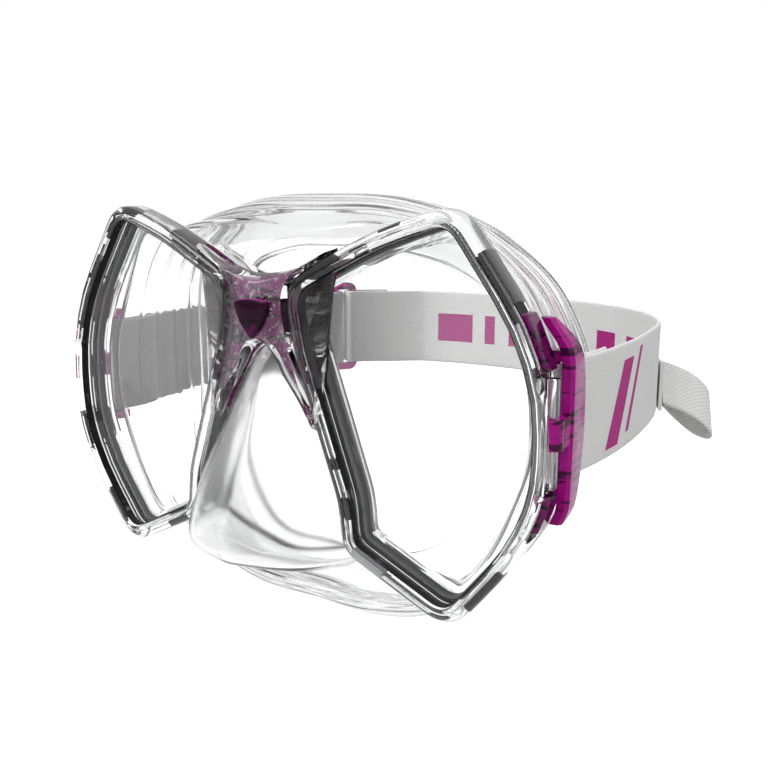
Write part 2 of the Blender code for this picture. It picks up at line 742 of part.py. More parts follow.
def folded_outline(path, bar_clearance, return_length, side_sign):
    """Ribbon that ends in a fold round a bar and returns beside itself.

    PATH ends at the bar's centre; SIDE_SIGN is +1 when the return ply lies to the path's left.
    """
    offset = bar_clearance + STRAP_THICKNESS / 2.0
    outbound = shifted(path, -side_sign * offset)
    lengths = [0.0]
    for first, second in zip(reversed(path[:-1]), reversed(path[1:])):
        lengths.append(lengths[-1] + (second - first).length)
    along = (path[-1] - path[-2]).normalized()
    normal = Vector((-along.y, along.x)) * side_sign
    fold = []
    turns = 6
    for step in range(1, turns):
        angle = math.pi * step / turns
        fold.append(path[-1] - normal * math.cos(angle) * offset + along * math.sin(angle) * offset)
    back = []
    for point, place in zip(reversed(shifted(path, side_sign * offset)), lengths):
        if place <= return_length:
            back.append(point)
    return outbound + fold + back


def strap_parts():
    """Main strap, adjustable left end, ring, hems and the pull tab."""
    line, length = strap_line()
    half_ring = (RING_LENGTH / 2.0 - RING_BAR / 2.0) / length
    clearance = math.hypot(RING_BAR, RING_THICKNESS) / 2.0 + FOLD_SLACK
    main_path = stretch(line, 0.0, RING_POSITION - half_ring)
    tail_path = list(reversed(stretch(line, RING_POSITION + half_ring, 1.0)))
    for name, word, path, back, turn in (("strap_main", "right", main_path, MAIN_RETURN, -1),
                                         ("strap_tail", "left", tail_path, TAIL_LENGTH, 1)):
        folded = folded_outline(eased(path, clearance, back, turn), clearance, back, turn)
        body = plate([ribbon_outline(folded, STRAP_THICKNESS)], STRAP_WIDTH)
        trim(keep(body, name, "webbing"), word, name)
    ring(line, RING_POSITION)
    for word, side in SIDES:
        hem(word, side)
    pull_tab(line)


def eased(path, clearance, return_length, side_sign):
    """Undo a folded ribbon's sideways step beyond its return ply, so that it rejoins the line."""
    lengths = [0.0]
    for first, second in zip(reversed(path[:-1]), reversed(path[1:])):
        lengths.append(lengths[-1] + (second - first).length)
    lengths.reverse()
    moved = shifted(path, side_sign * (clearance + STRAP_THICKNESS / 2.0))
    result = []
    for point, target, place in zip(path, moved, lengths):
        share = min(1.0, max(0.0, (place - return_length) / FOLD_SETTLE))
        share = share * share * (3.0 - 2.0 * share)
        result.append(point.lerp(target, share))
    return result


def trim(body, word, name):
    """Cut a strap back to just outside the circle that its end turns in."""
    disc = cylinder(SPLIT_RADIUS + GAP, STRAP_WIDTH + STRAP_TRIM_HEIGHT, 96)
    keep_cutter(disc, f"{name}_trim_{word}", PIVOTS[word])
    boolean(body, disc)


def hem(word, side):
    """Stitched inner ply that runs on from the folded end along the strap's inner face."""
    across = ROD_U - ROD_RADIUS - GAP - STRAP_THICKNESS / 2.0
    start = split_point(1, across)
    join_x = STRAP_PATH[0][0] - STRAP_THICKNESS - GAP
    knots = [start, (start[0] + HEM_BOW, start[1] + 5.0), (join_x - 0.4, start[1] + 10.0),
             (join_x, STRAP_PATH[0][1] + 2.0), (join_x + 0.15, start[1] + HEM_LENGTH)]
    path = resample(spline_points([Vector((side * x, y)) for x, y in knots], per_span=6), 9)
    body = plate([ribbon_outline(path, STRAP_THICKNESS)], STRAP_WIDTH)
    keep(body, f"strap_hem_{word}", "webbing")
    trim(body, word, f"strap_hem_{word}")


def ring(line, share):
    """Rectangular ring that joins the two halves of the strap."""
    index = round(share * (len(line) - 1))
    along = (line[index + 4] - line[index - 4]).normalized()
    half_length, half_height = RING_LENGTH / 2.0, RING_HEIGHT / 2.0
    slot_length, slot_height = half_length - RING_BAR, STRAP_WIDTH / 2.0 + LUG_CLEARANCE
    outlines = []
    for long, high, corner in ((half_length, half_height, RING_CORNER),
                               (slot_length, slot_height, RING_SLOT_CORNER)):
        outlines.append(rounded_outline(((-long, high, corner), (long, high, corner),
                                         (long, -high, corner), (-long, -high, corner))))
    body = plate(outlines, RING_THICKNESS)
    heading = math.atan2(along.y, along.x)
    body.matrix_local = Matrix.Translation((line[index].x * MM, line[index].y * MM, 0.0)) @ \
        Matrix.Rotation(heading, 4, "Z") @ Matrix.Rotation(math.pi / 2.0, 4, "X")
    keep(body, "strap_ring", "magenta")


def pull_tab(line):
    """Drooping webbing loop on the strap's outer face, with the patch that holds its ends."""
    index = round(TAB_POSITION * (len(line) - 1))
    along = (line[index + 4] - line[index - 4]).normalized()
    outward = Vector((along.y, -along.x))
    heading = math.atan2(outward.y, outward.x)
    seat = STRAP_THICKNESS / 2.0 + GAP
    base = line[index] + outward * seat
    hang = Matrix.Translation((base.x * MM, base.y * MM, TAB_DROP_Z * MM)) @ \
        Matrix.Rotation(heading, 4, "Z")
    patch = block((0.0, -TAB_PATCH_LENGTH / 2.0, -TAB_WIDTH / 2.0),
                  (TAB_THICKNESS, TAB_PATCH_LENGTH / 2.0, TAB_WIDTH / 2.0))
    patch.matrix_local = hang
    keep(patch, "tab_patch", "webbing")
    ply = TAB_THICKNESS / 2.0 + GAP
    knots = [(0.0, -ply), (TAB_LENGTH * 0.35, -TAB_BULGE * 0.75), (TAB_LENGTH * 0.72, -TAB_BULGE),
             (TAB_LENGTH, -TAB_BULGE * 0.45), (TAB_LENGTH, TAB_BULGE * 0.45), (TAB_LENGTH * 0.72, TAB_BULGE),
             (TAB_LENGTH * 0.35, TAB_BULGE * 0.75), (0.0, ply)]
    path = resample(spline_points([Vector(knot) for knot in knots], per_span=6), 30)
    loop = plate([ribbon_outline(path, TAB_THICKNESS)], TAB_WIDTH)
    stand_off = TAB_THICKNESS + 2.0 * GAP
    lift = Matrix.Translation((stand_off * MM, 0.0, 0.0))
    droop = Matrix.Identity(4)
    droop[2][0] = -math.tan(TAB_DROOP)
    loop.data.transform(droop @ Matrix.Rotation(TAB_ROLL, 4, "X"))
    loop.matrix_local = hang @ lift
    keep(loop, "pull_tab", "webbing")


# --- skirt -------------------------------------------------------------------------------------
def shell(name, kind, rows, thickness, closed=True, offset=-1.0):
    """A shell through rows of points, thickened with Solidify."""
    count = len(rows[0])
    vertices = [point for row in rows for point in row]
    faces = []
    for row in range(len(rows) - 1):
        for column in range(count if closed else count - 1):
            across = (column + 1) % count
            faces.append((row * count + column, row * count + across,
                          (row + 1) * count + across, (row + 1) * count + column))
    body = mesh_object(name, vertices, faces)
    keep(body, name, kind)
    wall = body.modifiers.new("wall", "SOLIDIFY")
    wall.thickness = thickness * MM
    wall.offset = offset
    wall.use_even_offset = True
    return body


def even_loop(half):
    """SKIRT_POINTS points round a symmetric loop given by its right half."""
    knots = [Vector(point) for point in mirrored_loop(half)]
    return resample(spline_points(knots, closed=True, per_span=8), SKIRT_POINTS, closed=True)


def skirt():
    """Outer wall, face seal and inner seal."""
    front_depth = RIM_DEPTH + GAP + SEAT_THICKNESS + SKIRT_STAND_OFF
    front = even_loop([(x, plane_y(x, front_depth), z) for x, z in SKIRT_FRONT_HALF])
    rear = even_loop([(x, y, z) for x, z, y in SKIRT_REAR_HALF])
    rows = []
    for out, back in SKIRT_ROWS:
        row = []
        for first, second in zip(front, rear):
            row.append((first.x + (second.x - first.x) * out, first.y + (second.y - first.y) * back,
                        first.z + (second.z - first.z) * out))
        rows.append(row)
    shell("skirt_wall", "silicone", rows, SKIRT_THICKNESS)
    for name, levels in (("face_seal", SEAL_ROWS), ("inner_seal", INNER_SEAL_ROWS)):
        rows = []
        for wide, high, deep in levels:
            rows.append([(point.x * wide, point.y + deep, SEAL_CENTRE_Z + (point.z - SEAL_CENTRE_Z) * high)
                         for point in rear])
        shell(name, "silicone", rows, SEAL_THICKNESS)


def nose_pocket():
    """Scoop for the nose: keel down the front, rounded shoulders and a floor."""
    rows = []
    for height, half_width, ridge in NOSE_ROWS:
        rows.append(nose_row(height, half_width, ridge, height))
    for height, half_width, ridge in NOSE_FLOOR_ROWS:
        rows.append(nose_row(height, half_width, ridge, height))
    shell("nose_pocket", "silicone", rows, NOSE_WALL, closed=False)


def nose_row(height, half_width, ridge, root_height):
    """One level of the pocket, from its left root round the ridge to its right root."""
    row = []
    root = plane_y(half_width, NOSE_ROOT_V)
    for step in range(NOSE_POINTS):
        share = math.sin(math.pi / 2.0 * (2.0 * step / (NOSE_POINTS - 1) - 1.0))
        across = half_width * share
        rise = root - ridge - NOSE_KEEL * half_width
        deep = ridge + NOSE_KEEL * abs(across) + rise * abs(share) ** NOSE_SHOULDER
        row.append((across, deep, height + (root_height - height) * abs(share) ** NOSE_SHOULDER))
    return row


ROD_U = AXIS_U - GAP - STRAP_THICKNESS - GAP - ROD_RADIUS

clear_scene()
PART = new_collection("diving_mask")
CUTTERS = new_collection("diving_mask_cutters")
ROOT = bpy.data.objects.new("diving_mask_origin", None)
PART.objects.link(ROOT)
ROOT.location = (0.0, -BADGE_FACE_Y * MM, -BADGE_CENTRE_Z * MM)
HALVES = {}
PIVOTS = {}
for side_word, side_sign in SIDES:
    HALVES[side_word] = half_frame(f"half_{side_word}", side_sign)
    PIVOTS[side_word] = pivot_empty(side_sign, side_word, HALVES[side_word])
    rim(side_sign, side_word, HALVES[side_word])
    lens_parts(side_sign, side_word, HALVES[side_word])
    hinge_bar(side_word, side_sign, HALVES[side_word])
    for clip_word, clip_span in (("upper", CLIP_UPPER), ("lower", CLIP_LOWER)):
        keep(clip_solid(side_sign, clip_span, 0.0), f"clip_{clip_word}_{side_word}", "magenta",
             HALVES[side_word])
    bracket(side_sign, side_word, HALVES[side_word], PIVOTS[side_word])
    strap_end(side_sign, side_word, PIVOTS[side_word])
bridge_layer("frame_bridge", "clear_frame", NOSE_PLANE_Y, BRIDGE_THICKNESS, 0.0, RIM_WIDTH + GAP)
insert_front = NOSE_PLANE_Y + BRIDGE_THICKNESS + GAP
bridge_layer("bridge_insert", "magenta", insert_front, INSERT_THICKNESS, INSERT_MARGIN, RIM_WIDTH + GAP)
web_front = plane_y(BRIDGE_HALF_WIDTH, RIM_DEPTH + GAP)
bridge_layer("skirt_web", "silicone", web_front, WEB_THICKNESS, WEB_MARGIN, SEAT_OVERHANG + GAP)
badge()
skirt()
nose_pocket()
strap_parts()
bpy.context.view_layer.update()
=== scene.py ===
"""Looks for the twin-lens diving mask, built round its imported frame.

Points are worked out in MASK space: millimetres about the wearer's eye line, X to the viewer's
right, Y back into the mask and Z up.  placed() moves them into the frame, in metres.  Each half of
the hard frame lies in a plane swept back from the nose; in it U runs outwards, V back and Z up.
"""
import math

import bmesh
import bpy
import numpy as np
from mathutils import Euler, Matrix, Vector

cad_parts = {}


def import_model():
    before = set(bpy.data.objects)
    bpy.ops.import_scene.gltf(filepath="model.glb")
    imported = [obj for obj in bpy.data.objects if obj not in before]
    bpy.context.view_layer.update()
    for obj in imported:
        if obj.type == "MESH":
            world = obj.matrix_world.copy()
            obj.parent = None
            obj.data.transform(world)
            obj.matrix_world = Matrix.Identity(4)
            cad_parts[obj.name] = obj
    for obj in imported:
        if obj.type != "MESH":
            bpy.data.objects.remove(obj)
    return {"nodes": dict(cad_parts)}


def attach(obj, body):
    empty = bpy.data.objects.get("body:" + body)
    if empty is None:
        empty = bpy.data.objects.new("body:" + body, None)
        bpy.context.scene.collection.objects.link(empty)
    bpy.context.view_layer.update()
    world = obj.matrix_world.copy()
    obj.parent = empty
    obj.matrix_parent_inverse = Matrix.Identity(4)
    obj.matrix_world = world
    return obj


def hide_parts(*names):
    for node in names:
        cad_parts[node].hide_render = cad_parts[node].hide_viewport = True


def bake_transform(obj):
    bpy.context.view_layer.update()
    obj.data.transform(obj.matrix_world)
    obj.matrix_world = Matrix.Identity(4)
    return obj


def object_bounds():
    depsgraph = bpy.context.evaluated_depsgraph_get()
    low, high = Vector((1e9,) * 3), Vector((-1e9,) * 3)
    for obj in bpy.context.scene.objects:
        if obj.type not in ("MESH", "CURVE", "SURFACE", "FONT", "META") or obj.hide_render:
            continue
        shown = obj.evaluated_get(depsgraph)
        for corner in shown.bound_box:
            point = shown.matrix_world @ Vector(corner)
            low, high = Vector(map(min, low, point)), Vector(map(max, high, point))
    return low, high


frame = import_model()
CAD_BOX = [list(corner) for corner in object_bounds()]

MM = 0.001
EYE_LINE = np.array((0.0, 4.7, -23.0))      # mask space's origin in the frame, mm
NOSE_Y = -2.5
SWEEP = math.radians(3.7)
SIDES = {"right": 1, "left": -1}
GAP = 0.3
FACE_SLICE = 0.2

# --- hard frame, as in the CAD model ---
LENS_OVERLAP = 0.9
RIM_WIDTH = 4.2
RIM_DEPTH = 9.0
AXIS_U = 81.0
AXIS_V = 5.4
BAR_RADIUS = 1.5
NOTCH_HALF = 13.6
NOTCH_LIP = 1.2
CLIP_SPANS = ((15.0, 28.0), (-24.0, -15.0))
CLIP_SINK = 1.5
BRIDGE_HALF_WIDTH = 24.0
SADDLE_Z = 34.4
SADDLE_CURVE = 0.0125
ARCH_HALF = ((0.0, 16.0), (3.0, 14.6), (5.5, 11.6), (8.0, 7.3), (14.0, -1.0), (17.5, -7.0))
BRIDGE_THICKNESS = 4.4
INSERT_THICKNESS = 2.4
WEB_FRONT = RIM_DEPTH + 1.9
WEB_THICKNESS = 1.8
OPENING_POINTS = 420

# --- strap ---
STRAP_WIDTH = 30.0
STRAP_THICKNESS = 1.6
ROD_RADIUS = 1.0
ROD_V = 16.0
ROD_U = AXIS_U - 2.0 * GAP - STRAP_THICKNESS - ROD_RADIUS
SPLIT_RADIUS = 20.5
SPLIT_LEAD = 2.0
PLY_LEAD_V = 19.0
HEM_V = 23.87
HEM_LENGTH = 22.0
LINE_STEP = 0.5
BAND_STEP = 0.8
STRAP_ROUTE = ((79.6, 40.0), (80.2, 56.0), (79.2, 76.0), (76.6, 97.0), (73.0, 111.0),
               (66.5, 123.5), (58.0, 133.5), (47.0, 141.8), (32.0, 148.6), (12.0, 153.6),
               (-12.0, 154.8), (-32.0, 152.4), (-50.0, 146.0), (-64.0, 135.0), (-71.0, 122.0),
               (-75.0, 106.0), (-78.0, 84.0), (-79.8, 60.0), (-79.6, 40.0))
RING_POSITION = 0.6995
RING_LENGTH = 11.0
RING_BAR = 2.6
RING_THICKNESS = 2.4
FOLD_SLACK = 0.9
FOLD_SETTLE = 16.0
MAIN_RETURN = 15.0
TAIL_RETURN = 34.0
TAB_POSITION = 0.252
TAB_WIDTH = 16.0
TAB_THICKNESS = 1.3
TAB_LENGTH = 15.0
TAB_BULGE = 5.4
TAB_DROOP = math.radians(33.0)
TAB_ROLL = math.radians(-36.0)
TAB_DROP_Z = -7.0
TAB_PATCH_LENGTH = 12.0

# --- skirt ---
SKIRT_FRONT_DEPTH = 13.1
SKIRT_FRONT_HALF = ((0.0, 31.5), (20.0, 36.8), (38.0, 42.0), (52.0, 45.0), (58.5, 41.0),
                    (66.8, 25.0), (72.9, 8.0), (72.9, -10.0), (66.5, -28.5), (57.5, -43.5),
                    (50.0, -45.4), (31.0, -39.6), (15.0, -43.4), (0.0, -46.0))
SKIRT_REAR_HALF = ((0.0, 54.4, 38.0), (18.0, 54.0, 38.5), (31.0, 51.8, 40.0), (44.0, 47.6, 42.0),
                   (54.0, 41.0, 45.0), (64.0, 31.0, 49.0), (70.0, 18.0, 53.0), (72.4, 6.0, 55.5),
                   (72.4, -8.0, 55.5), (70.4, -22.0, 53.0), (65.5, -34.0, 49.0),
                   (58.0, -46.5, 45.0), (47.0, -58.0, 40.0), (34.0, -65.0, 35.0),
                   (18.0, -66.8, 31.0), (0.0, -65.5, 29.5))
SKIRT_ROWS = ((0.0, 0.0), (0.42, 0.13), (0.76, 0.32), (0.96, 0.55), (1.0, 0.75), (0.985, 0.93))
SEAL_CENTRE_Z = -6.0
ROLL_ROWS = ((0.975, 0.975, 1.2), (0.955, 0.95, 2.4))
SEAL_ROWS = ((0.93, 0.92, 2.9), (0.86, 0.83, 3.0), (0.79, 0.74, 1.8))
INNER_SEAL_ROWS = ((0.925, 0.925, -7.5), (0.87, 0.86, -5.4), (0.82, 0.80, -4.4))
NOSE_ROWS = ((14.2, 2.2, 3.4), (12.0, 4.2, 0.6), (9.0, 6.0, -0.6), (4.0, 9.6, -2.2),
             (-4.0, 14.4, -4.8), (-13.0, 18.6, -8.6), (-22.0, 21.8, -13.0), (-30.0, 23.8, -16.4),
             (-36.0, 24.9, -17.8), (-39.4, 26.2, -16.8), (-41.2, 27.0, -14.2),
             (-42.4, 26.6, -8.6), (-43.0, 25.4, -2.0))
NOSE_ROOT_V = 11.0
NOSE_KEEL = 0.26
NOSE_SHOULDER = 6
RIBS = ((0.16, 0.45), (0.25, 0.45), (0.34, 0.45), (0.43, 0.6), (0.50, 0.7), (0.56, 0.7), (0.62, 0.7))
RIB_SPREAD = 0.011
SKIRT_POINTS = 300
SKIRT_WALL = (1.7, -1.0)
LIP_WALL = (1.1, -1.0)
NOSE_WALL = (1.4, -1.0)


# --- geometry helpers ---
def placed(points):
    """Mask-space millimetres into the frame, in metres."""
    return (np.asarray(points, float) + EYE_LINE) * MM


def half(side, u, v, z):
    """Swept half-plane (U, V, Z) to mask space: a turn about Z by the sweep, mirrored on the left."""
    u, v, z = np.broadcast_arrays(u, v, z)
    x = side * (u * math.cos(SWEEP) - v * math.sin(SWEEP))
    y = NOSE_Y + u * math.sin(SWEEP) + v * math.cos(SWEEP)
    return np.stack((x, y, z), -1)


def unswept(side, points):
    """Mask space back to the half-plane's U, V and Z: the inverse turn."""
    x, y = side * points[:, 0], points[:, 1] - NOSE_Y
    u = x * math.cos(SWEEP) + y * math.sin(SWEEP)
    v = y * math.cos(SWEEP) - x * math.sin(SWEEP)
    return np.stack((u, v, points[:, 2]), -1)


def eased(value):
    """Smooth step: 3 t^2 - 2 t^3 on values clipped to 0..1."""
    value = np.clip(value, 0.0, 1.0)
    return value * value * (3.0 - 2.0 * value)


def unit(vectors):
    """Vectors scaled to length one."""
    return vectors / np.linalg.norm(vectors, axis=-1, keepdims=True)


def through(knots, closed=False, per_span=12):
    """Catmull-Rom curve: each span weighs its four nearest knots with cubic weights."""
    knots = np.asarray(knots, float)
    if closed:
        before, here, after, beyond = (np.roll(knots, shift, 0) for shift in (1, 0, -1, -2))
    else:
        chain = np.concatenate((2 * knots[:1] - knots[1:2], knots, 2 * knots[-1:] - knots[-2:-1]))
        before, here, after, beyond = chain[:-3], chain[1:-2], chain[2:-1], chain[3:]
    t = (np.arange(per_span) / per_span).reshape((1, per_span) + (1,) * (knots.ndim - 1))
    before, here, after, beyond = (part[:, None] for part in (before, here, after, beyond))
    spans = 0.5 * (2 * here + (after - before) * t
                   + (2 * before - 5 * here + 4 * after - beyond) * t ** 2
                   + (3 * here - before - 3 * after + beyond) * t ** 3)
    points = spans.reshape((-1,) + knots.shape[1:])
    return points if closed else np.concatenate((points, knots[-1:]))


def lengths(points):
    """Running length along a polyline."""
    return np.concatenate(([0.0], np.cumsum(np.linalg.norm(np.diff(points, axis=0), axis=1))))


def even(points, count, closed=False):
    """COUNT points evenly spaced along a polyline, by linear interpolation on its length."""
    chain = np.concatenate((points, points[:1])) if closed else np.asarray(points)
    run = lengths(chain)
    wanted = np.linspace(0.0, run[-1], count, endpoint=not closed)
    return np.stack([np.interp(wanted, run, chain[:, axis]) for axis in range(chain.shape[1])], -1)


def mirrored(half_points):
    """Closed symmetric loop from its right half, both ends on the symmetry plane."""
    right = np.asarray(half_points, float)
    left = right[-2:0:-1] * np.array([-1.0] + [1.0] * (right.shape[1] - 1))
    return np.concatenate((right, left))


def in_scene(name, data):
    """New object in the scene, at the origin."""
    made = bpy.data.objects.new(name, data)
    bpy.context.scene.collection.objects.link(made)
    return made


def surface(name, points, material, body, wrap_rows=False, wrap_columns=True, uv=None,
            wall=None, soft_angle=40.0):
    """Quad grid of (rows, columns, 3) points; WRAP joins its ends, open ends of a tube are capped.

    WALL is (thickness in mm, offset) for a shell; UV is an array of (rows, columns, 2) in metres.
    """
    rows, columns = points.shape[:2]
    index = np.arange(rows * columns).reshape(rows, columns)
    if wrap_rows:
        index = np.concatenate((index, index[:1]))
    if wrap_columns:
        index = np.concatenate((index, index[:, :1]), axis=1)
    quads = np.stack((index[:-1, :-1], index[:-1, 1:], index[1:, 1:], index[1:, :-1]), -1)
    faces = quads.reshape(-1, 4).tolist()
    if wrap_columns and not wrap_rows and wall is None:
        first = np.arange(columns)
        faces += [first[::-1].tolist(), (first + (rows - 1) * columns).tolist()]
    mesh = bpy.data.meshes.new(name)
    mesh.from_pydata(placed(points).reshape(-1, 3).tolist(), [], faces)
    if uv is not None:
        layer = mesh.uv_layers.new(name="UVMap")
        corner = np.empty(len(mesh.loops), np.int32)
        mesh.loops.foreach_get("vertex_index", corner)
        spread = np.asarray(uv, float).reshape(-1, 2)[corner]
        layer.data.foreach_set("uv", spread.astype(np.float32).ravel())
    return finished(mesh, name, material, body, wall, soft_angle)


def finished(mesh, name, material, body, wall, soft_angle):
    """Turn a closed mesh's faces outwards, smooth it, give it its wall and finish, let it ride."""
    if wall is None:
        work = bmesh.new()
        work.from_mesh(mesh)
        bmesh.ops.recalc_face_normals(work, faces=work.faces)
        work.to_mesh(mesh)
        work.free()
    mesh.shade_smooth()
    mesh.set_sharp_from_angle(angle=math.radians(soft_angle))
    mesh.materials.append(material)
    piece = in_scene(name, mesh)
    if wall:
        shell = piece.modifiers.new("wall", "SOLIDIFY")
        shell.thickness = wall[0] * MM
        shell.offset = wall[1]
    if body:
        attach(piece, body)
    return piece


def swept(loop, normal, side, profile, limit):
    """Profile of (outset, depth) carried along an outline: outline + normal x outset, held by LIMIT."""
    outset, depth = np.asarray(profile, float).T
    outset = np.broadcast_to(outset, (len(loop), len(profile)))
    if limit is not None:
        outset = limit(loop, normal, outset, depth)
    u = loop[:, :1] + normal[:, :1] * outset
    z = loop[:, 1:] + normal[:, 1:] * outset
    return half(side, u, depth[None, :], z)


def sweep_uv(loop, profile):
    """UV in metres for a swept profile: length along the outline, and outset from its edge."""
    run = lengths(loop)
    outset = np.asarray(profile, float)[:, 0]
    return np.stack(np.broadcast_arrays(run[:, None] * MM, outset[None, :] * MM), -1)


# --- materials ---
class Tree:
    """Short names for building a node tree."""

    def __init__(self, tree):
        self.tree = tree

    def feed(self, socket, value):
        """Give a socket a constant, or link another node's output to it."""
        if isinstance(value, bpy.types.NodeSocket):
            self.tree.links.new(value, socket)
        else:
            socket.default_value = value

    def fill(self, node, inputs):
        """Feed a node's sockets, given by name or number."""
        for key, value in inputs.items():
            self.feed(node.inputs[key], value)

    def node(self, kind, inputs=None, **settings):
        """New node with its settings made and its sockets fed."""
        made = self.tree.nodes.new(kind)
        for key, value in settings.items():
            setattr(made, key, value)
        self.fill(made, inputs or {})
        return made

    def maths(self, operation, *values):
        return self.node("ShaderNodeMath", dict(enumerate(values)), operation=operation).outputs[0]

    def mix(self, factor, first, second):
        inputs = {"Factor": factor, 6: first, 7: second}
        return self.node("ShaderNodeMix", inputs, data_type="RGBA").outputs[2]

    def noise(self, vector, scale, detail, distortion=0.0):
        inputs = {"Vector": vector, "Scale": scale, "Detail": detail, "Distortion": distortion}
        return self.node("ShaderNodeTexNoise", inputs).outputs["Fac"]

    def ramp(self, value, low, high):
        """0 below LOW, 1 above HIGH, straight between."""
        inputs = {"Value": value, "From Min": low, "From Max": high}
        return self.node("ShaderNodeMapRange", inputs, clamp=True).outputs["Result"]

    def grazing(self, blend, low, high):
        """0 on faces seen square on, 1 on faces seen along their surface."""
        facing = self.node("ShaderNodeLayerWeight", {"Blend": blend})
        return self.ramp(facing.outputs["Facing"], low, high)

    def coordinate(self, kind):
        return self.node("ShaderNodeTexCoord").outputs[kind]

    def band_uv(self):
        return self.node("ShaderNodeUVMap").outputs["UV"]

    def mapped(self, vector, **inputs):
        return self.node("ShaderNodeMapping", {"Vector": vector, **inputs}).outputs[0]

    def split(self, vector):
        return self.node("ShaderNodeSeparateXYZ", {0: vector}).outputs

    def leftward(self, vector, low, high):
        """0 to 1 as a vector's X goes from -LOW to -HIGH."""
        return self.ramp(self.maths("MULTIPLY", self.split(vector)["X"], -1.0), low, high)

    def group(self, tree, **values):
        """Place a node group with its own values; returns its outputs."""
        inputs = {key.replace("_", " "): value for key, value in values.items()}
        return self.node("ShaderNodeGroup", inputs, node_tree=tree).outputs

    def bump(self, shader, height, strength, distance):
        """Send a height through a Bump node to the shader's normal."""
        inputs = {"Strength": strength, "Distance": distance, "Height": height}
        self.feed(shader.inputs["Normal"], self.node("ShaderNodeBump", inputs).outputs["Normal"])

    def shows_surroundings(self, paths):
        """1 for camera, glossy and transmission rays, which see the pale surroundings."""
        seen = self.maths("MAXIMUM", paths["Is Camera Ray"], paths["Is Glossy Ray"])
        return self.maths("MAXIMUM", seen, paths["Is Transmission Ray"])


def effect(name, values, colours, outputs):
    """Empty shader node group with a Vector input, named values and colours, and its outputs."""
    tree = bpy.data.node_groups.new(name, "ShaderNodeTree")
    kinds = {"Vector": "Vector", **dict.fromkeys(values, "Float"), **dict.fromkeys(colours, "Color")}
    for label, kind in kinds.items():
        tree.interface.new_socket(label, in_out="INPUT", socket_type="NodeSocket" + kind)
    for label, kind in outputs.items():
        tree.interface.new_socket(label, in_out="OUTPUT", socket_type="NodeSocket" + kind)
    made = Tree(tree)
    return made, made.node("NodeGroupInput").outputs, made.node("NodeGroupOutput").inputs


def moulding_effect():
    """Moulded surface: faint flow ripples for the bump, and fine dust and scratches for roughness."""
    made, given, result = effect("moulded surface", ("Shine", "Wear"), (),
                                 {"Height": "Float", "Roughness": "Float"})
    flow = made.noise(given["Vector"], 70.0, 2.0)
    grain = made.noise(given["Vector"], 900.0, 2.0)
    made.feed(result["Height"], made.maths("MULTIPLY_ADD", grain, 0.12, flow))
    stretched = made.mapped(given["Vector"], Scale=(1.0, 1.0, 9.0), Rotation=(0.5, 0.3, 0.9))
    scratch = made.ramp(made.noise(stretched, 420.0, 2.0), 0.58, 0.75)
    made.feed(result["Roughness"], made.maths("MULTIPLY_ADD", scratch, given["Wear"], given["Shine"]))
    return made.tree


def weave_effect():
    """Weave on the band's own UV: sin(2 pi u / p) sin(2 pi v / p) raises dots in diagonal rows."""
    made, given, result = effect("woven band", ("Pitch", "Half Width"), (),
                                 {"Height": "Float", "Thread": "Float", "Selvedge": "Float"})
    place = made.split(given["Vector"])
    waves = []
    for axis in ("X", "Y"):
        turns = made.maths("DIVIDE", place[axis], given["Pitch"])
        waves.append(made.maths("SINE", made.maths("MULTIPLY", turns, 2.0 * math.pi)))
    thread = made.maths("MULTIPLY_ADD", made.maths("MULTIPLY", *waves), 0.5, 0.5)
    fuzz = made.noise(given["Vector"], 2600.0, 2.0)
    from_edge = made.maths("SUBTRACT", given["Half Width"], made.maths("ABSOLUTE", place["Y"]))
    selvedge = made.maths("SUBTRACT", 1.0, made.ramp(from_edge, 0.0004, 0.0013))
    made.feed(result["Selvedge"], selvedge)
    made.feed(result["Thread"], made.maths("MULTIPLY_ADD", fuzz, 0.35, thread))
    made.feed(result["Height"], made.maths("MULTIPLY_ADD", fuzz, 0.25, thread))
    return made.tree


def bar_effect():
    """Slanted bar on a band's UV: 1 where |u - centre + slant v| < half length and low < v < high."""
    made, given, result = effect("printed bar", ("Centre", "Half Length", "Low", "High", "Slant"), (),
                                 {"Mask": "Float"})
    place = made.split(given["Vector"])
    leaned = made.maths("MULTIPLY_ADD", place["Y"], given["Slant"], place["X"])
    off = made.maths("ABSOLUTE", made.maths("SUBTRACT", leaned, given["Centre"]))
    inside = made.maths("LESS_THAN", off, given["Half Length"])
    above = made.maths("GREATER_THAN", place["Y"], given["Low"])
    below = made.maths("LESS_THAN", place["Y"], given["High"])
    made.feed(result["Mask"], made.maths("MULTIPLY", inside, made.maths("MULTIPLY", above, below)))
    return made.tree


def mottle_effect():
    """Flow marks in tinted plastic: a warped noise makes pale patches, a slanted one dark strokes."""
    made, given, result = effect("flow marks", ("Scale", "Amount", "Dark Amount"),
                                 ("Light", "Body", "Dark"), {"Color": "Color"})
    pale = made.noise(given["Vector"], given["Scale"], 4.0, 1.2)
    slanted = made.mapped(given["Vector"], Rotation=(0.4, 0.2, 0.0), Scale=(0.6, 0.6, 3.2))
    strokes = made.noise(slanted, 160.0, 3.0)
    light = made.maths("MULTIPLY", made.ramp(pale, 0.54, 0.66), given["Amount"])
    dark = made.maths("MULTIPLY", made.ramp(strokes, 0.54, 0.565), given["Dark Amount"])
    body = made.mix(dark, given["Body"], given["Dark"])
    made.feed(result["Color"], made.mix(light, body, given["Light"]))
    return made.tree


MOULDED_RELIEF = 0.0004
WEAVE_PITCH = 0.0013
WEBBING_PALE = (0.84, 0.84, 0.835, 1.0)
WEBBING_DEEP = (0.56, 0.56, 0.555, 1.0)
WEBBING_SHADE = (0.15, 0.15, 0.15, 1.0)
INK_DEEP = (0.32, 0.003, 0.16, 1.0)
INK_BRIGHT = (0.42, 0.005, 0.21, 1.0)
SHADOW_TINT = 0.9
LINE_STRETCH = 0.05


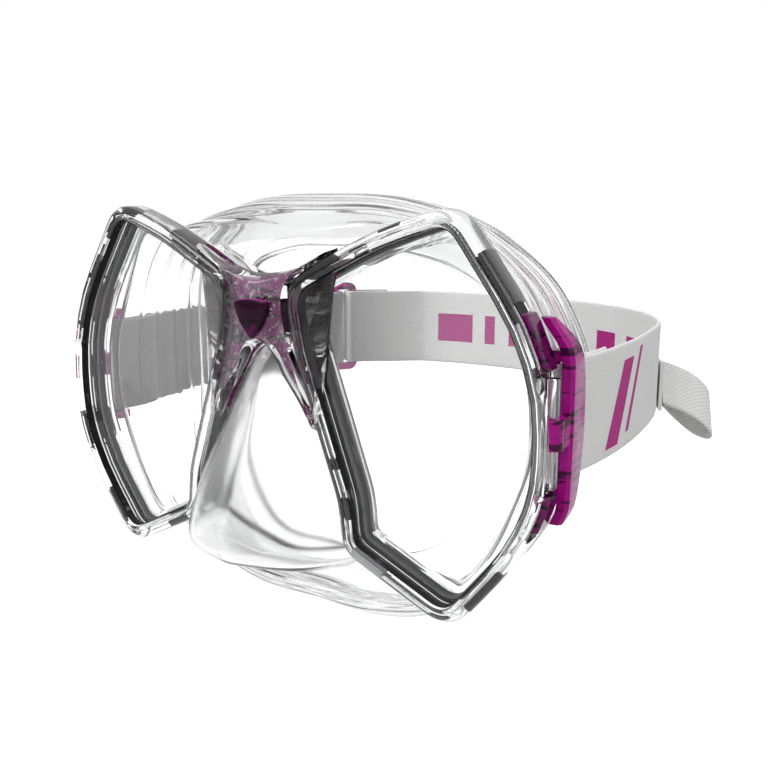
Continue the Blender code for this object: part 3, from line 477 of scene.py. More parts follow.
def new_material(name):
    """Empty Principled material; returns it, its Tree and its shader."""
    made = bpy.data.materials.new(name)
    made.use_nodes = True
    return made, Tree(made.node_tree), made.node_tree.nodes["Principled BSDF"]


def let_light_through(tree, shader, tint):
    """Lamps reach what is behind the piece: shadow rays meet a plain tint instead of the glass."""
    clear = tree.node("ShaderNodeBsdfTransparent", {"Color": (*tint, 1.0)})
    shadow = tree.node("ShaderNodeLightPath").outputs["Is Shadow Ray"]
    mixed = tree.node("ShaderNodeMixShader", {0: shadow, 1: shader.outputs[0], 2: clear.outputs[0]})
    output = next(node for node in tree.tree.nodes if node.type == "OUTPUT_MATERIAL")
    tree.feed(output.inputs["Surface"], mixed.outputs[0])


def see_through(name, tint, edge, ior, shine, wear, ripple, edge_start, painted_left_edge_shade=None,
                painted_left_face_shade=None):
    """Clear plastic, glass or silicone whose colour deepens from TINT to EDGE at grazing angles, a
    painted edge shade.

    On the object's left side a darker painted edge shade takes EDGE's place, and faces turned left get a
    darker painted shade.
    """
    made, tree, shader = new_material(name)
    place = tree.coordinate("Object")
    face_colour, painted_edge_colour = (*tint, 1.0), (*edge, 1.0)
    # Painted shade: edges on the object's left side take a darker colour.
    if painted_left_edge_shade:
        left = tree.leftward(place, 0.030, 0.050)
        painted_edge_colour = tree.mix(left, painted_edge_colour, (*painted_left_edge_shade, 1.0))
    # Painted shade: faces turned left take a darker tint.
    if painted_left_face_shade:
        left = tree.leftward(tree.coordinate("Normal"), 0.45, 0.60)
        face_colour = tree.mix(left, face_colour, (*painted_left_face_shade, 1.0))
    marks = tree.group(MOULDING, Vector=place, Shine=shine, Wear=wear)
    tree.bump(shader, marks["Height"], ripple, MOULDED_RELIEF)
    # Painted edge shade: faces seen at grazing angles move to the edge colour.
    colour = tree.mix(tree.grazing(0.35, edge_start, 1.0), face_colour, painted_edge_colour)
    tree.fill(shader, {"Base Color": colour, "Roughness": marks["Roughness"],
                       "Transmission Weight": 1.0, "IOR": ior})
    let_light_through(tree, shader, [channel * SHADOW_TINT for channel in tint])
    return made


def tinted_plastic(name, light, body, dark, scale, amount, shade, shine=0.08, gloss=0.2, edge=None):
    """Gloss tinted plastic with pale flow marks and dark strokes, and a painted highlight in EDGE's
    colour on edges seen at grazing angles.
    """
    made, tree, shader = new_material(name)
    place = tree.coordinate("Object")
    marks = tree.group(MOTTLE, Vector=place, Scale=scale, Light=(*light, 1.0), Body=(*body, 1.0),
                       Dark=(*dark, 1.0), Amount=amount, Dark_Amount=shade)
    colour = marks["Color"]
    # Painted highlight: faces seen at grazing angles take the EDGE colour.
    if edge:
        colour = tree.mix(tree.grazing(0.5, 0.50, 0.66), colour, (*edge, 1.0))
    worn = tree.group(MOULDING, Vector=place, Shine=shine, Wear=0.10)
    tree.bump(shader, worn["Height"], 0.25, MOULDED_RELIEF)
    tree.fill(shader, {"Base Color": colour, "Roughness": worn["Roughness"], "IOR": 1.5,
                       "Specular IOR Level": gloss})
    return made


def dark_wall(name, body, silver):
    """Smoky gloss wall with fine silver lines that run along the outline."""
    made, tree, shader = new_material(name)
    along = tree.mapped(tree.band_uv(), Scale=(LINE_STRETCH, 1.0, 1.0))
    line = tree.noise(along, 2400.0, 2.0)
    dashes = tree.noise(along, 700.0, 2.0)
    mask = tree.maths("MULTIPLY", tree.ramp(line, 0.62, 0.72), tree.ramp(dashes, 0.54, 0.66))
    paler = [channel * 2.6 for channel in body]
    tone = tree.mix(tree.ramp(dashes, 0.3, 0.75), (*body, 1.0), (*paler, 1.0))
    tree.bump(shader, line, 0.3, 0.0003)
    tree.fill(shader, {"Base Color": tree.mix(mask, tone, (*silver, 1.0)),
                       "Roughness": tree.maths("MULTIPLY_ADD", dashes, 0.25, 0.15),
                       "Specular IOR Level": 0.04})
    return made


def webbing(name, bars=()):
    """Light grey woven band with selvedges and magenta printed bars; painted shade darkens its left
    inner face.
    """
    made, tree, shader = new_material(name)
    uv = tree.band_uv()
    cloth = tree.group(WEAVE, Vector=uv, Pitch=WEAVE_PITCH, Half_Width=STRAP_WIDTH / 2.0 * MM)
    worn = tree.maths("MULTIPLY", cloth["Thread"], 0.75)
    shade = tree.maths("MULTIPLY_ADD", tree.noise(uv, 60.0, 3.0), 0.25, worn)
    colour = tree.mix(tree.ramp(shade, 0.1, 0.95), WEBBING_DEEP, WEBBING_PALE)
    for centre, half_length, low, high, slant in bars:
        mark = tree.group(BAR, Vector=uv, Centre=centre * MM, Half_Length=half_length * MM,
                          Low=low * MM, High=high * MM, Slant=slant)
        ink = tree.mix(cloth["Thread"], INK_DEEP, INK_BRIGHT)
        colour = tree.mix(mark["Mask"], colour, ink)
    # Painted shade: on the mask's left, band faces turned to the right (the inner face) are multiplied
    # by WEBBING_SHADE.
    left = tree.leftward(tree.coordinate("Object"), 0.020, 0.075)
    facing = tree.ramp(tree.split(tree.coordinate("Normal"))["X"], 0.05, 0.4)
    inner = tree.maths("MULTIPLY", left, facing)
    shaded = tree.node("ShaderNodeMixRGB", {"Fac": inner, "Color1": colour, "Color2": WEBBING_SHADE},
                       blend_type="MULTIPLY")
    tree.bump(shader, tree.maths("MULTIPLY_ADD", cloth["Selvedge"], 0.8, cloth["Height"]), 0.55, 0.00025)
    tree.fill(shader, {"Base Color": shaded.outputs["Color"], "Roughness": 0.82, "Sheen Weight": 0.05})
    return made


MOULDING = moulding_effect()
WEAVE = weave_effect()
BAR = bar_effect()
MOTTLE = mottle_effect()

# Name, face tint, painted edge shade at grazing angles, refractive index, shine, wear, ripple and where
# that painted edge shade starts.
CLEAR = see_through("clear_polycarbonate", (0.97, 0.975, 0.975), (0.05, 0.05, 0.052),
                    1.50, 0.012, 0.04, 0.10, 0.35)
GLASS = see_through("tempered_glass", (0.985, 0.992, 0.99), (0.80, 0.84, 0.83),
                    1.50, 0.0, 0.01, 0.0, 0.45)
# The silicone gets darker painted edges on its left side, and the nose silicone painted shade on faces
# turned left.
SILICONE = see_through("clear_silicone", (0.955, 0.957, 0.957), (0.55, 0.555, 0.555),
                       1.41, 0.05, 0.08, 0.06, 0.55, painted_left_edge_shade=(0.07, 0.07, 0.072))
NOSE_SILICONE = see_through("nose_silicone", (0.965, 0.967, 0.967), (0.40, 0.405, 0.405),
                            1.41, 0.13, 0.08, 0.04, 0.55, painted_left_face_shade=(0.45, 0.455, 0.455))

# Name, pale marks, body, dark strokes, mark scale, mark amount, stroke amount, shine and gloss, then for
# the badge the colour of its painted edge highlight.
MAGENTA = tinted_plastic("magenta_plastic", (0.46, 0.012, 0.29), (0.35, 0.005, 0.21),
                         (0.020, 0.002, 0.016), 260.0, 0.5, 0.9, 0.22, 0.12)
INLAY = tinted_plastic("mottled_inlay", (0.42, 0.38, 0.42), (0.15, 0.003, 0.10),
                       (0.008, 0.003, 0.008), 850.0, 0.8, 0.95)
BADGE = tinted_plastic("badge_enamel", (0.16, 0.004, 0.10), (0.022, 0.002, 0.016),
                       (0.004, 0.001, 0.004), 90.0, 0.5, 0.6, 0.03, 0.08, (0.36, 0.006, 0.23))
CLIP = tinted_plastic("clip_plastic", (0.20, 0.006, 0.13), (0.10, 0.003, 0.065),
                      (0.010, 0.001, 0.008), 500.0, 0.9, 1.0)

WALL = dark_wall("smoky_wall", (0.003, 0.003, 0.0032), (0.42, 0.42, 0.43))
LINING = dark_wall("smoky_lining", (0.008, 0.008, 0.0085), (0.42, 0.42, 0.43))
# Painted shade for the rails' recesses, the second one paler.
RECESS_SHADE = dark_wall("painted_recess_shadow", (0.006, 0.006, 0.0065), (0.10, 0.10, 0.105))
PALE_RECESS_SHADE = dark_wall("painted_pale_recess_shadow", (0.22, 0.22, 0.225), (0.60, 0.60, 0.61))


# --- lens openings ---
def bearing(points):
    """Angle of each point about the middle of the outline's box, in degrees."""
    off = points - (points.min(0) + points.max(0)) / 2.0
    return np.degrees(np.arctan2(off[:, 1], off[:, 0]))


def node_loop(points, count):
    """Evenly spaced loop through a flat outline's corners, taken in order of angle and smoothed."""
    points = np.unique(np.round(points, 3), axis=0)
    loop = even(points[np.argsort(bearing(points))], count, closed=True)
    for _ in range(3):
        loop = (np.roll(loop, 1, 0) + 2.0 * loop + np.roll(loop, -1, 0)) / 4.0
    return loop


def outward(loop):
    """Unit normals of an anticlockwise loop: the tangent turned a quarter turn clockwise."""
    along = unit(np.roll(loop, -1, 0) - np.roll(loop, 1, 0))
    return np.stack((along[:, 1], -along[:, 0]), -1)


def vertices_of(name):
    """A CAD node's vertices in mask space."""
    node = frame["nodes"][name]
    found = np.empty(len(node.data.vertices) * 3, np.float32)
    node.data.vertices.foreach_get("co", found)
    return found.reshape(-1, 3).astype(float) / MM - EYE_LINE


def opening(word, side):
    """Edge of a lens opening in (U, Z), from the glass plate's outline less its overlap."""
    plate = unswept(side, vertices_of(f"lens_{word}"))
    front = plate[plate[:, 1] < plate[:, 1].min() + FACE_SLICE][:, (0, 2)]
    loop = node_loop(front, OPENING_POINTS)
    normal = outward(loop)
    return loop - normal * LENS_OVERLAP, normal


OPENINGS = {word: opening(word, side) for word, side in SIDES.items()}


def round_opening(name, word, profile, material, limit=None, part=None):
    """Piece whose profile is carried round a lens opening, or along one PART of it."""
    loop, normal = OPENINGS[word]
    if part is not None:
        loop, normal = loop[part], normal[part]
    return surface(name, swept(loop, normal, SIDES[word], profile, limit), material, "root",
                   wrap_rows=part is None, uv=sweep_uv(loop, profile))


# --- rims ---
# Sections as (outset, depth) in mm, from the opening's edge and from the rim's front.
RIM_PROFILE = ((0.0, 2.95), (0.0, 0.75), (0.18, 0.3), (0.6, 0.0), (1.25, 0.0), (1.42, 0.28),
               (1.62, 0.28), (1.8, 0.0), (2.5, 0.04), (3.15, 0.3), (3.75, 0.85), (4.1, 1.5),
               (4.1, 1.58), (4.12, 1.72), (4.2, 2.3), (4.2, 7.1), (4.0, 8.0), (3.5, 8.7),
               (2.8, 9.0), (1.25, 9.0), (1.22, 6.0), (1.2, 3.0))
LINING_PROFILE = ((-0.20, 0.55), (-0.05, 0.45), (-0.05, 2.95), (-0.20, 2.85), (-0.32, 1.7))
GASKET_PROFILE = ((-0.75, 10.2), (-0.7, 9.6), (-0.45, 9.35), (0.6, 9.35), (0.6, 10.2))
SEAT_PROFILE = ((-2.0, 12.1), (-2.0, 11.4), (-1.35, 11.1), (-1.35, 10.5), (-0.75, 10.3),
                (0.65, 10.3), (0.7, 9.35), (2.1, 9.35), (2.3, 9.6), (2.3, 12.0), (2.1, 12.25),
                (-1.75, 12.25))
SHADE_PROFILE = ((-0.6, 10.5), (0.5, 10.5), (0.5, 12.0), (-0.6, 12.0))
OUTER_SIDE = 0.3
NOSE_SIDE = -0.8
CLIP_REACH = 8.9


def rim_limit(loop, normal, outset, depth):
    """Hold a rim's outer side back where the hinge notch and the clips are let in."""
    u, z = loop[:, :1], loop[:, 1:]
    outer = normal[:, :1] > OUTER_SIDE
    behind = (depth > NOTCH_LIP)[None, :]
    notch = (AXIS_U - BAR_RADIUS - GAP - u) / np.maximum(normal[:, :1], OUTER_SIDE)
    held = np.where(outer & behind & (np.abs(z) < NOTCH_HALF), np.minimum(outset, notch), outset)
    for low, high in CLIP_SPANS:
        inside = outer & behind & (z > low - GAP) & (z < high + GAP) & (depth < CLIP_REACH)[None, :]
        held = np.where(inside, np.minimum(held, RIM_WIDTH - CLIP_SINK - GAP), held)
    return held


def rim(word):
    """Clear rail with a rolled front, a shallow groove, the glass pocket, hinge notch and lining."""
    shell = round_opening(f"rim_shell_{word}", word, RIM_PROFILE, CLEAR, rim_limit)
    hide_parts(f"frame_rim_{word}")
    round_opening(f"rim_lining_{word}", word, LINING_PROFILE, LINING)


def seat(word):
    """Dark gasket line behind the glass and the clear stepped seat that it presses on."""
    gasket = round_opening(f"seat_steps_{word}", word, GASKET_PROFILE, WALL)
    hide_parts(f"lens_seat_{word}")
    round_opening(f"seat_clear_{word}", word, SEAT_PROFILE, SILICONE)


# Painted shade in the rails, dark strips where recesses show shade, one of them paler: angle span about
# the opening's centre in degrees, then the section's outset span and depth span, then the painted
# shade's finish.
RECESS_SHADE_STRIPS = {
    "right": ((44.0, 69.0, 1.9, 3.5, 2.2, 7.6, RECESS_SHADE), (-73.0, -57.0, 1.8, 3.2, 2.4, 7.0, RECESS_SHADE),
              (-113.0, -99.0, 1.9, 3.4, 1.8, 6.4, PALE_RECESS_SHADE),
              (106.0, 113.0, 1.8, 2.4, 1.4, 5.0, RECESS_SHADE), (119.0, 129.0, 1.8, 2.3, 1.4, 4.0, RECESS_SHADE),
              (92.0, 101.0, 2.9, 3.4, 1.6, 4.4, RECESS_SHADE), (-150.0, -141.0, 1.7, 2.9, 1.8, 6.0, RECESS_SHADE),
              (-128.0, -119.0, 2.2, 3.0, 1.6, 5.0, RECESS_SHADE)),
    "left": ((104.0, 118.0, 1.9, 3.5, 2.0, 7.2, RECESS_SHADE), (70.0, 86.0, 1.8, 2.3, 1.4, 5.0, RECESS_SHADE),
             (22.0, 40.0, 2.2, 3.3, 2.0, 7.0, RECESS_SHADE), (-40.0, -24.0, 2.2, 3.3, 2.0, 7.0, RECESS_SHADE),
             (-108.0, -96.0, 1.9, 3.2, 1.8, 6.6, RECESS_SHADE), (-74.0, -60.0, 2.0, 2.8, 1.6, 6.6, RECESS_SHADE),
             (46.0, 60.0, 1.8, 2.6, 1.6, 6.0, RECESS_SHADE)),
}


def recess_shade_strips(word):
    """Painted shade: dark strips in a rail's slots, and a dark strip in its seat on the nose side.

    Each is a closed strip that follows the opening over a span of angles, or over its nose side.
    """
    loop, normal = OPENINGS[word]
    angle = bearing(loop)
    for number, (start, stop, near, far, front, back, shade_finish) in enumerate(RECESS_SHADE_STRIPS[word], 1):
        section = ((near, front), (far, front), (far, back), (near, back))
        round_opening(f"rim_recess_shade_{word}_{number}", word, section, shade_finish,
                      part=(angle > start) & (angle < stop))
    # Painted shade: a dark strip in the seat along its nose side.
    order = np.roll(np.arange(len(loop)), -np.argmax(normal[:, 0] > NOSE_SIDE))
    round_opening(f"seat_shade_{word}", word, SHADE_PROFILE, WALL,
                  part=order[normal[order, 0] < NOSE_SIDE])


for word in SIDES:
    rim(word)
    seat(word)
    recess_shade_strips(word)


# --- CAD nodes that keep their shape ---
SOFT_ANGLE = 38.0


def finish_node(name, material):
    """Give a CAD node its finish."""
    slots = frame["nodes"][name].data.materials
    slots.clear()
    slots.append(material)


def softened(node, name, material, body, width, segments=2):
    """Copy of a CAD node with its doubles merged, flats joined and edges rounded by WIDTH mm."""
    mesh = frame["nodes"][node].data.copy()
    mesh.name = name
    mesh.materials.clear()
    work = bmesh.new()
    work.from_mesh(mesh)
    bmesh.ops.remove_doubles(work, verts=work.verts, dist=2e-6)
    bmesh.ops.dissolve_limit(work, angle_limit=math.radians(1.5), verts=work.verts, edges=work.edges)
    work.to_mesh(mesh)
    work.free()
    piece = finished(mesh, name, material, body, None, SOFT_ANGLE)
    edge = piece.modifiers.new("edge", "BEVEL")
    edge.width = width * MM
    edge.segments = segments
    edge.limit_method = "ANGLE"
    edge.angle_limit = math.radians(SOFT_ANGLE)
    edge.use_clamp_overlap = True
    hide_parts(node)


for word in SIDES:
    finish_node(f"lens_{word}", GLASS)
    finish_node(f"lens_retainer_{word}", LINING)
    softened(f"pivot_bar_{word}", f"hinge_bar_{word}", CLEAR, "root", 0.3)
    softened(f"bracket_{word}", f"strap_bracket_{word}", MAGENTA, f"bracket_{word}", 0.35)
    softened(f"strap_rod_{word}", f"rod_{word}", MAGENTA, f"bracket_{word}", 0.15)
    for level in ("upper", "lower"):
        softened(f"clip_{level}_{word}", f"rim_clip_{level}_{word}", CLIP, "root", 0.4)
softened("strap_ring", "band_ring", MAGENTA, "root", 0.6, 3)


# --- bridge ---
SADDLE_START_Z = 40.0
SADDLE_LIFT = 0.4
ARCH_CLEAR = 1.2
BRIDGE_ACROSS = 41
BRIDGE_UP = 33
CROWN_SPREAD = 9.0
BADGE_RINGS = np.linspace(0.92, 0.02, 14)


def bridge_field(margin):
    """Grid of (x, z) over the right half of the bridge: a Coons patch between its four edges.

    The edges are the centre line, the saddle, the rim's outer outline and the nose arch.
    """
    loop, normal = OPENINGS["right"]
    rail = loop + normal * (RIM_WIDTH + GAP)
    rail = np.stack((half(1, rail[:, 0], 0.0, rail[:, 1])[:, 0], rail[:, 1]), -1)
    start = np.argmin(np.hypot(rail[:, 0] - BRIDGE_HALF_WIDTH, rail[:, 1] - SADDLE_START_Z))
    arch_x, arch_z = ARCH_HALF[-1]
    stop = np.argmin(np.hypot(rail[:, 0] - arch_x - ARCH_CLEAR, rail[:, 1] - arch_z))
    right = even(rail[start:stop + 1], BRIDGE_UP)
    s = np.linspace(0.0, 1.0, BRIDGE_ACROSS)[:, None, None]
    t = np.linspace(0.0, 1.0, BRIDGE_UP)[None, :, None]
    share = s[:, 0, 0]
    reach = right[0, 0] * share
    saddle = SADDLE_Z + SADDLE_CURVE * reach ** 2 - margin
    lowest = saddle[0] + (right[0, 1] + SADDLE_LIFT - saddle[0]) * share ** 2
    saddle = np.stack((reach, np.maximum(saddle, lowest)), -1)
    arch = even(through(np.array(ARCH_HALF) + (0.0, margin)), BRIDGE_ACROSS)
    centre = even(np.array(((0.0, saddle[0, 1]), (0.0, arch[0, 1]))), BRIDGE_UP)
    top, low = saddle[:, None, :], arch[:, None, :]
    left, edge = centre[None, :, :], right[None, :, :]
    corners = ((1 - s) * (1 - t) * left[:, :1] + (1 - s) * t * left[:, -1:]
               + s * (1 - t) * edge[:, :1] + s * t * edge[:, -1:])
    return (1 - s) * left + s * edge + (1 - t) * top + t * low - corners


def bridge_layer(name, front, thickness, crown, roll, margin, material, replaced):
    """Layer of the bridge: front face domed by CROWN, edges rolled back over ROLL mm, flat back."""
    patch = bridge_field(margin)
    patch = np.concatenate((patch[:0:-1] * (-1.0, 1.0), patch))
    x, z = patch[..., 0], patch[..., 1]
    span = np.abs(z[:, :1] - z[:, -1:]) + np.abs(x[:, :1] - x[:, -1:])
    t = np.linspace(0.0, 1.0, patch.shape[1])[None, :]
    inside = np.minimum(t, 1.0 - t) * span
    rolled = roll * (1.0 - np.sqrt(1.0 - (1.0 - np.clip(inside / roll, 0.0, 1.0)) ** 2))
    swept_back = np.abs(x) * math.tan(SWEEP)
    dome = crown * np.exp(-(x / CROWN_SPREAD) ** 2) * np.sin(math.pi * t)
    face = NOSE_Y + front + swept_back + rolled - dome
    rear = NOSE_Y + front + thickness + swept_back - rolled * 0.4
    points = np.concatenate((np.stack((x, face, z), -1), np.stack((x, rear, z), -1)[:, ::-1]), axis=1)
    piece = surface(name, points, material, "root")
    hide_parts(replaced)


# Name, front, thickness, crown, roll and margin in mm, then the finish and the node it stands for.
bridge_layer("bridge_body", 0.0, BRIDGE_THICKNESS, 1.2, 3.2, 0.0, CLEAR, "frame_bridge")
bridge_layer("bridge_inlay", BRIDGE_THICKNESS + GAP, INSERT_THICKNESS, 0.0, 0.8, 0.8, INLAY,
             "bridge_insert")
bridge_layer("web_sheet", WEB_FRONT, WEB_THICKNESS, 0.0, 0.6, 1.6, SILICONE, "skirt_web")


def badge():
    """Three-cornered dome: rings of the outline shrink to its centre while the face rises."""
    node = vertices_of("bridge_badge")
    front_y = node[:, 1].min()
    loop = node_loop(node[node[:, 1] < front_y + FACE_SLICE / 2.0][:, (0, 2)], 120)
    centre = loop.mean(0)
    shrink = np.concatenate(([1.0, 1.0, 0.97], BADGE_RINGS))
    depth = np.concatenate(([1.7, 0.45, 0.15], -0.28 * (1.0 - BADGE_RINGS ** 2)))
    flat = centre + (loop[None] - centre) * shrink[:, None, None]
    face = np.broadcast_to((front_y + depth)[:, None], flat.shape[:2])
    points = np.stack((flat[..., 0], face, flat[..., 1]), -1)
    piece = surface("badge_dome", points, BADGE, "root")
    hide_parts("bridge_badge")


badge()


# --- silicone skirt ---
def soft_loop(half_points):
    """Dense symmetric loop through a half outline's knots."""
    return even(through(mirrored(half_points), closed=True), SKIRT_POINTS, closed=True)


def scaled(loop, wide, high, deep):
    """The rear loop scaled about its centre and moved back by DEEP."""
    x, y, z = loop.T
    return np.stack((x * wide, y + deep, SEAL_CENTRE_Z + (z - SEAL_CENTRE_Z) * high), -1)


def tapered(piece, weights):
    """Scale a shell's wall by a weight for each vertex."""
    group = piece.vertex_groups.new(name="wall")
    for index, weight in enumerate(weights.ravel()):
        group.add((index,), float(weight), "REPLACE")
    piece.modifiers["wall"].vertex_group = "wall"


def skirt():
    """Outer wall that rolls into the feathered face seal, with moulded ribs, and the inner seal.

    Each row is the front loop moved towards the rear one by (out, back); the seal's rows are the
    rear loop scaled about its centre.  A cubic curve joins the rows.  A rib at share p adds
    height x exp(-((share - p) / spread)^2).
    """
    front = soft_loop([(x, NOSE_Y + abs(x) * math.tan(SWEEP) + SKIRT_FRONT_DEPTH, z)
                       for x, z in SKIRT_FRONT_HALF])
    rear = soft_loop([(x, y, z) for x, z, y in SKIRT_REAR_HALF])
    rows = [front + (rear - front) * np.array((out, back, out)) for out, back in SKIRT_ROWS]
    rows += [scaled(rear, *row) for row in ROLL_ROWS + SEAL_ROWS]
    grid = through(np.array(rows), per_span=9)
    share = np.linspace(0.0, 1.0, len(grid))
    away = unit((grid - np.array((0.0, 0.0, SEAL_CENTRE_Z))) * (1.0, 0.0, 1.0))
    ribs = sum(high * np.exp(-((share - place) / RIB_SPREAD) ** 2) for place, high in RIBS)
    grid = grid + away * ribs[:, None, None]
    piece = surface("skirt_body", grid, SILICONE, "root", wall=SKIRT_WALL)
    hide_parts("skirt_wall", "face_seal")
    taper = 1.0 - 0.45 * eased((share - 0.7) / 0.25) + 0.45 * eased((share - 0.97) / 0.03)
    tapered(piece, np.broadcast_to(taper[:, None], grid.shape[:2]))
    inner = through(np.array([scaled(rear, *row) for row in INNER_SEAL_ROWS]), per_span=8)
    lip = surface("inner_lip", inner, SILICONE, "root", wall=LIP_WALL)
    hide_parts("inner_seal")
    share = np.linspace(0.0, 1.0, len(inner))
    tapered(lip, np.broadcast_to((1.0 - 0.4 * share)[:, None], inner.shape[:2]))


def nose_cup():
    """Nose pocket: each level is a keel |x| * slope, turned back at the sides by a steep power."""
    levels = through(np.array(NOSE_ROWS), per_span=6)
    height, wide, ridge = (levels[:, column][:, None] for column in range(3))
    share = np.sin(math.pi / 2.0 * np.linspace(-1.0, 1.0, 81))[None, :]
    x = wide * share
    root = NOSE_Y + wide * math.tan(SWEEP) + NOSE_ROOT_V
    keel = NOSE_KEEL * np.sqrt(x ** 2 + 1.0)
    y = ridge + keel + (root - ridge - NOSE_KEEL * wide) * np.abs(share) ** NOSE_SHOULDER
    points = np.stack(np.broadcast_arrays(x, y, height), -1)
    piece = surface("nose_cup", points, NOSE_SILICONE, "root", wrap_columns=False,
                    wall=NOSE_WALL)
    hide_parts("nose_pocket")


skirt()
nose_cup()


# --- strap ---
def left_normal(path):
    """Unit normals to the left of a plan path: the tangent turned a quarter turn."""
    along = unit(np.gradient(path, axis=0))
    return np.stack((-along[:, 1], along[:, 0]), -1)


def shifted(path, distance):
    """Path moved sideways: point + left normal x distance."""
    return path + left_normal(path) * np.asarray(distance, float).reshape(-1, 1)


def split_point(side):
    """Plan point where the outer ply leaves the bracket."""
    ply = ROD_U + ROD_RADIUS + GAP + STRAP_THICKNESS / 2.0
    deep = AXIS_V + math.sqrt(SPLIT_RADIUS ** 2 - (ply - AXIS_U) ** 2) - SPLIT_LEAD
    return half(side, ply, deep, 0.0)[:2]


def band_line():
    """Centre line of the whole strap in plan, evenly stepped."""
    fine = through(np.vstack((split_point(1), STRAP_ROUTE, split_point(-1))))
    return even(fine, round(lengths(fine)[-1] / LINE_STEP))


def bracket_fold(side):
    """Hem along the inside, half turn round the rod, and out to where the outer ply leaves."""
    ply = ROD_RADIUS + GAP + STRAP_THICKNESS / 2.0
    turn = np.linspace(math.pi, 0.0, 13)
    fold = half(side, ROD_U + np.cos(turn) * ply, ROD_V - np.sin(turn) * ply, 0.0)[:, :2]
    inner = half(side, ROD_U - ply, HEM_V, 0.0)[:2]
    lead_in, lead_out = (half(side, u, PLY_LEAD_V, 0.0)[:2] for u in (ROD_U - ply, ROD_U + ply))
    join = STRAP_ROUTE[0][0] - STRAP_THICKNESS - GAP
    hem = [(side * (join + 0.15), inner[1] + HEM_LENGTH), (side * join, STRAP_ROUTE[0][1] + 2.0),
           (side * (join - 0.4), inner[1] + 10.0), (side * (side * inner[0] + 0.9), inner[1] + 5.0),
           inner]
    return np.vstack((through(np.array(hem), per_span=10), lead_in, fold, lead_out))


def ring_fold(path, turn, back_length):
    """Outer ply shifted off the ring's bar, half turn round it, and the return ply beside it."""
    off = math.hypot(RING_BAR, RING_THICKNESS) / 2.0 + FOLD_SLACK + STRAP_THICKNESS / 2.0
    left = lengths(path)[-1] - lengths(path)
    settled = shifted(path, turn * off * eased((left - back_length) / FOLD_SETTLE))
    out = shifted(settled, -turn * off * np.ones(len(path)))
    along = unit(path[-1] - path[-2])
    normal = turn * np.array((-along[1], along[0]))
    angle = np.linspace(0.0, math.pi, 15)[1:-1, None]
    fold = path[-1] - normal * np.cos(angle) * off + along * np.sin(angle) * off
    back = shifted(settled, turn * off * np.ones(len(path)))[::-1][left[::-1] <= back_length]
    return np.vstack((out, fold, back))


def ribbon(name, path, material, width, thickness, body, transform=None):
    """Woven band: a flat loop section with thicker selvedges carried along a plan path.

    Half thickness at a share a of the half width is T/2 (0.86 + 0.2 a^6) sqrt(1 - a^24).
    """
    share = np.sin(np.linspace(-math.pi / 2.0, math.pi / 2.0, 23))
    thick = thickness / 2.0 * (0.86 + 0.2 * share ** 6) * np.sqrt(np.maximum(1.0 - share ** 24, 0.0))
    across = np.concatenate((share, share[-2:0:-1])) * width / 2.0
    side = np.concatenate((thick, -thick[-2:0:-1]))
    plan = path[:, None, :] + left_normal(path)[:, None, :] * side[None, :, None]
    upright = np.broadcast_to(across[None, :, None], plan.shape[:2] + (1,))
    points = np.concatenate((plan, upright), -1)
    if transform is not None:
        points = transform(points)
    uv = np.stack(np.broadcast_arrays(lengths(path)[:, None] * MM, across[None, :] * MM), -1)
    return surface(name, points, material, body, uv=uv, soft_angle=60.0)


LINE = band_line()
LINE_LENGTH = lengths(LINE)[-1]
HALF_RING = (RING_LENGTH - RING_BAR) / 2.0


def strap_path(word):
    """Whole path of the main band or of its adjustable end, and the length before the open band."""
    run = lengths(LINE)
    ring = RING_POSITION * LINE_LENGTH
    if word == "right":
        body, turn, back = LINE[run <= ring - HALF_RING], -1, MAIN_RETURN
    else:
        body, turn, back = LINE[run >= ring + HALF_RING][::-1], 1, TAIL_RETURN
    start = bracket_fold(SIDES[word])
    path = np.vstack((start, ring_fold(body, turn, back)))
    return even(path, round(lengths(path)[-1] / BAND_STEP)), lengths(start)[-1]


def length_at(path, before, axis, value):
    """Length along a path at which its X or Y coordinate reaches VALUE, past BEFORE."""
    run = lengths(path)
    past = run > before
    return float(run[past][np.argmin(np.abs(path[past][:, axis] - value))])


# Printed bars across the back of the strap as X and height spans, and the two slanted bars on its
# side as offset along it, half length and height span.
BACK_BARS = ((-32.0, -16.5, -5.8, 5.8), (-11.0, -6.4, -5.8, 5.8), (0.0, 8.0, -5.8, 5.8),
             (40.0, 50.0, -5.0, 5.0), (54.0, 62.0, -1.5, 5.0))
SIDE_BARS = ((-5.0, 4.4, -12.5, 10.5), (6.0, 1.4, -10.5, 12.5))
SIDE_BARS_Y = 60.0
SIDE_SLANT = -0.5
BACK_Y = 125.0


def straps():
    """Main band and adjustable end, each a woven band laid from its bracket round to the ring; the main
    band carries the printed bars.
    """
    main, main_start = strap_path("right")
    tail, _ = strap_path("left")
    run = lengths(main)
    back = (main[:, 1] > BACK_Y) & (run > main_start)
    back_run, back_x = run[back], main[back][:, 0]
    bars = []
    for x_low, x_high, low, high in BACK_BARS:
        place = np.interp((x_low + x_high) / 2.0, back_x[::-1], back_run[::-1])
        bars.append((float(place), (x_high - x_low) / 2.0, low, high, 0.0))
    side_run = length_at(main, main_start, 1, SIDE_BARS_Y)
    bars += [(side_run + offset, *spans, SIDE_SLANT) for offset, *spans in SIDE_BARS]
    cloth, plain = webbing("grey_webbing", bars), webbing("grey_webbing_plain")
    for name, path, material, word, nodes in (
            ("band_main", main, cloth, "right", ("strap_main", "strap_end_right", "strap_hem_right")),
            ("band_tail", tail, plain, "left", ("strap_tail", "strap_end_left", "strap_hem_left"))):
        band = ribbon(name, path, material, STRAP_WIDTH, STRAP_THICKNESS, None)
        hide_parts(*nodes)
        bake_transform(band)
    return plain


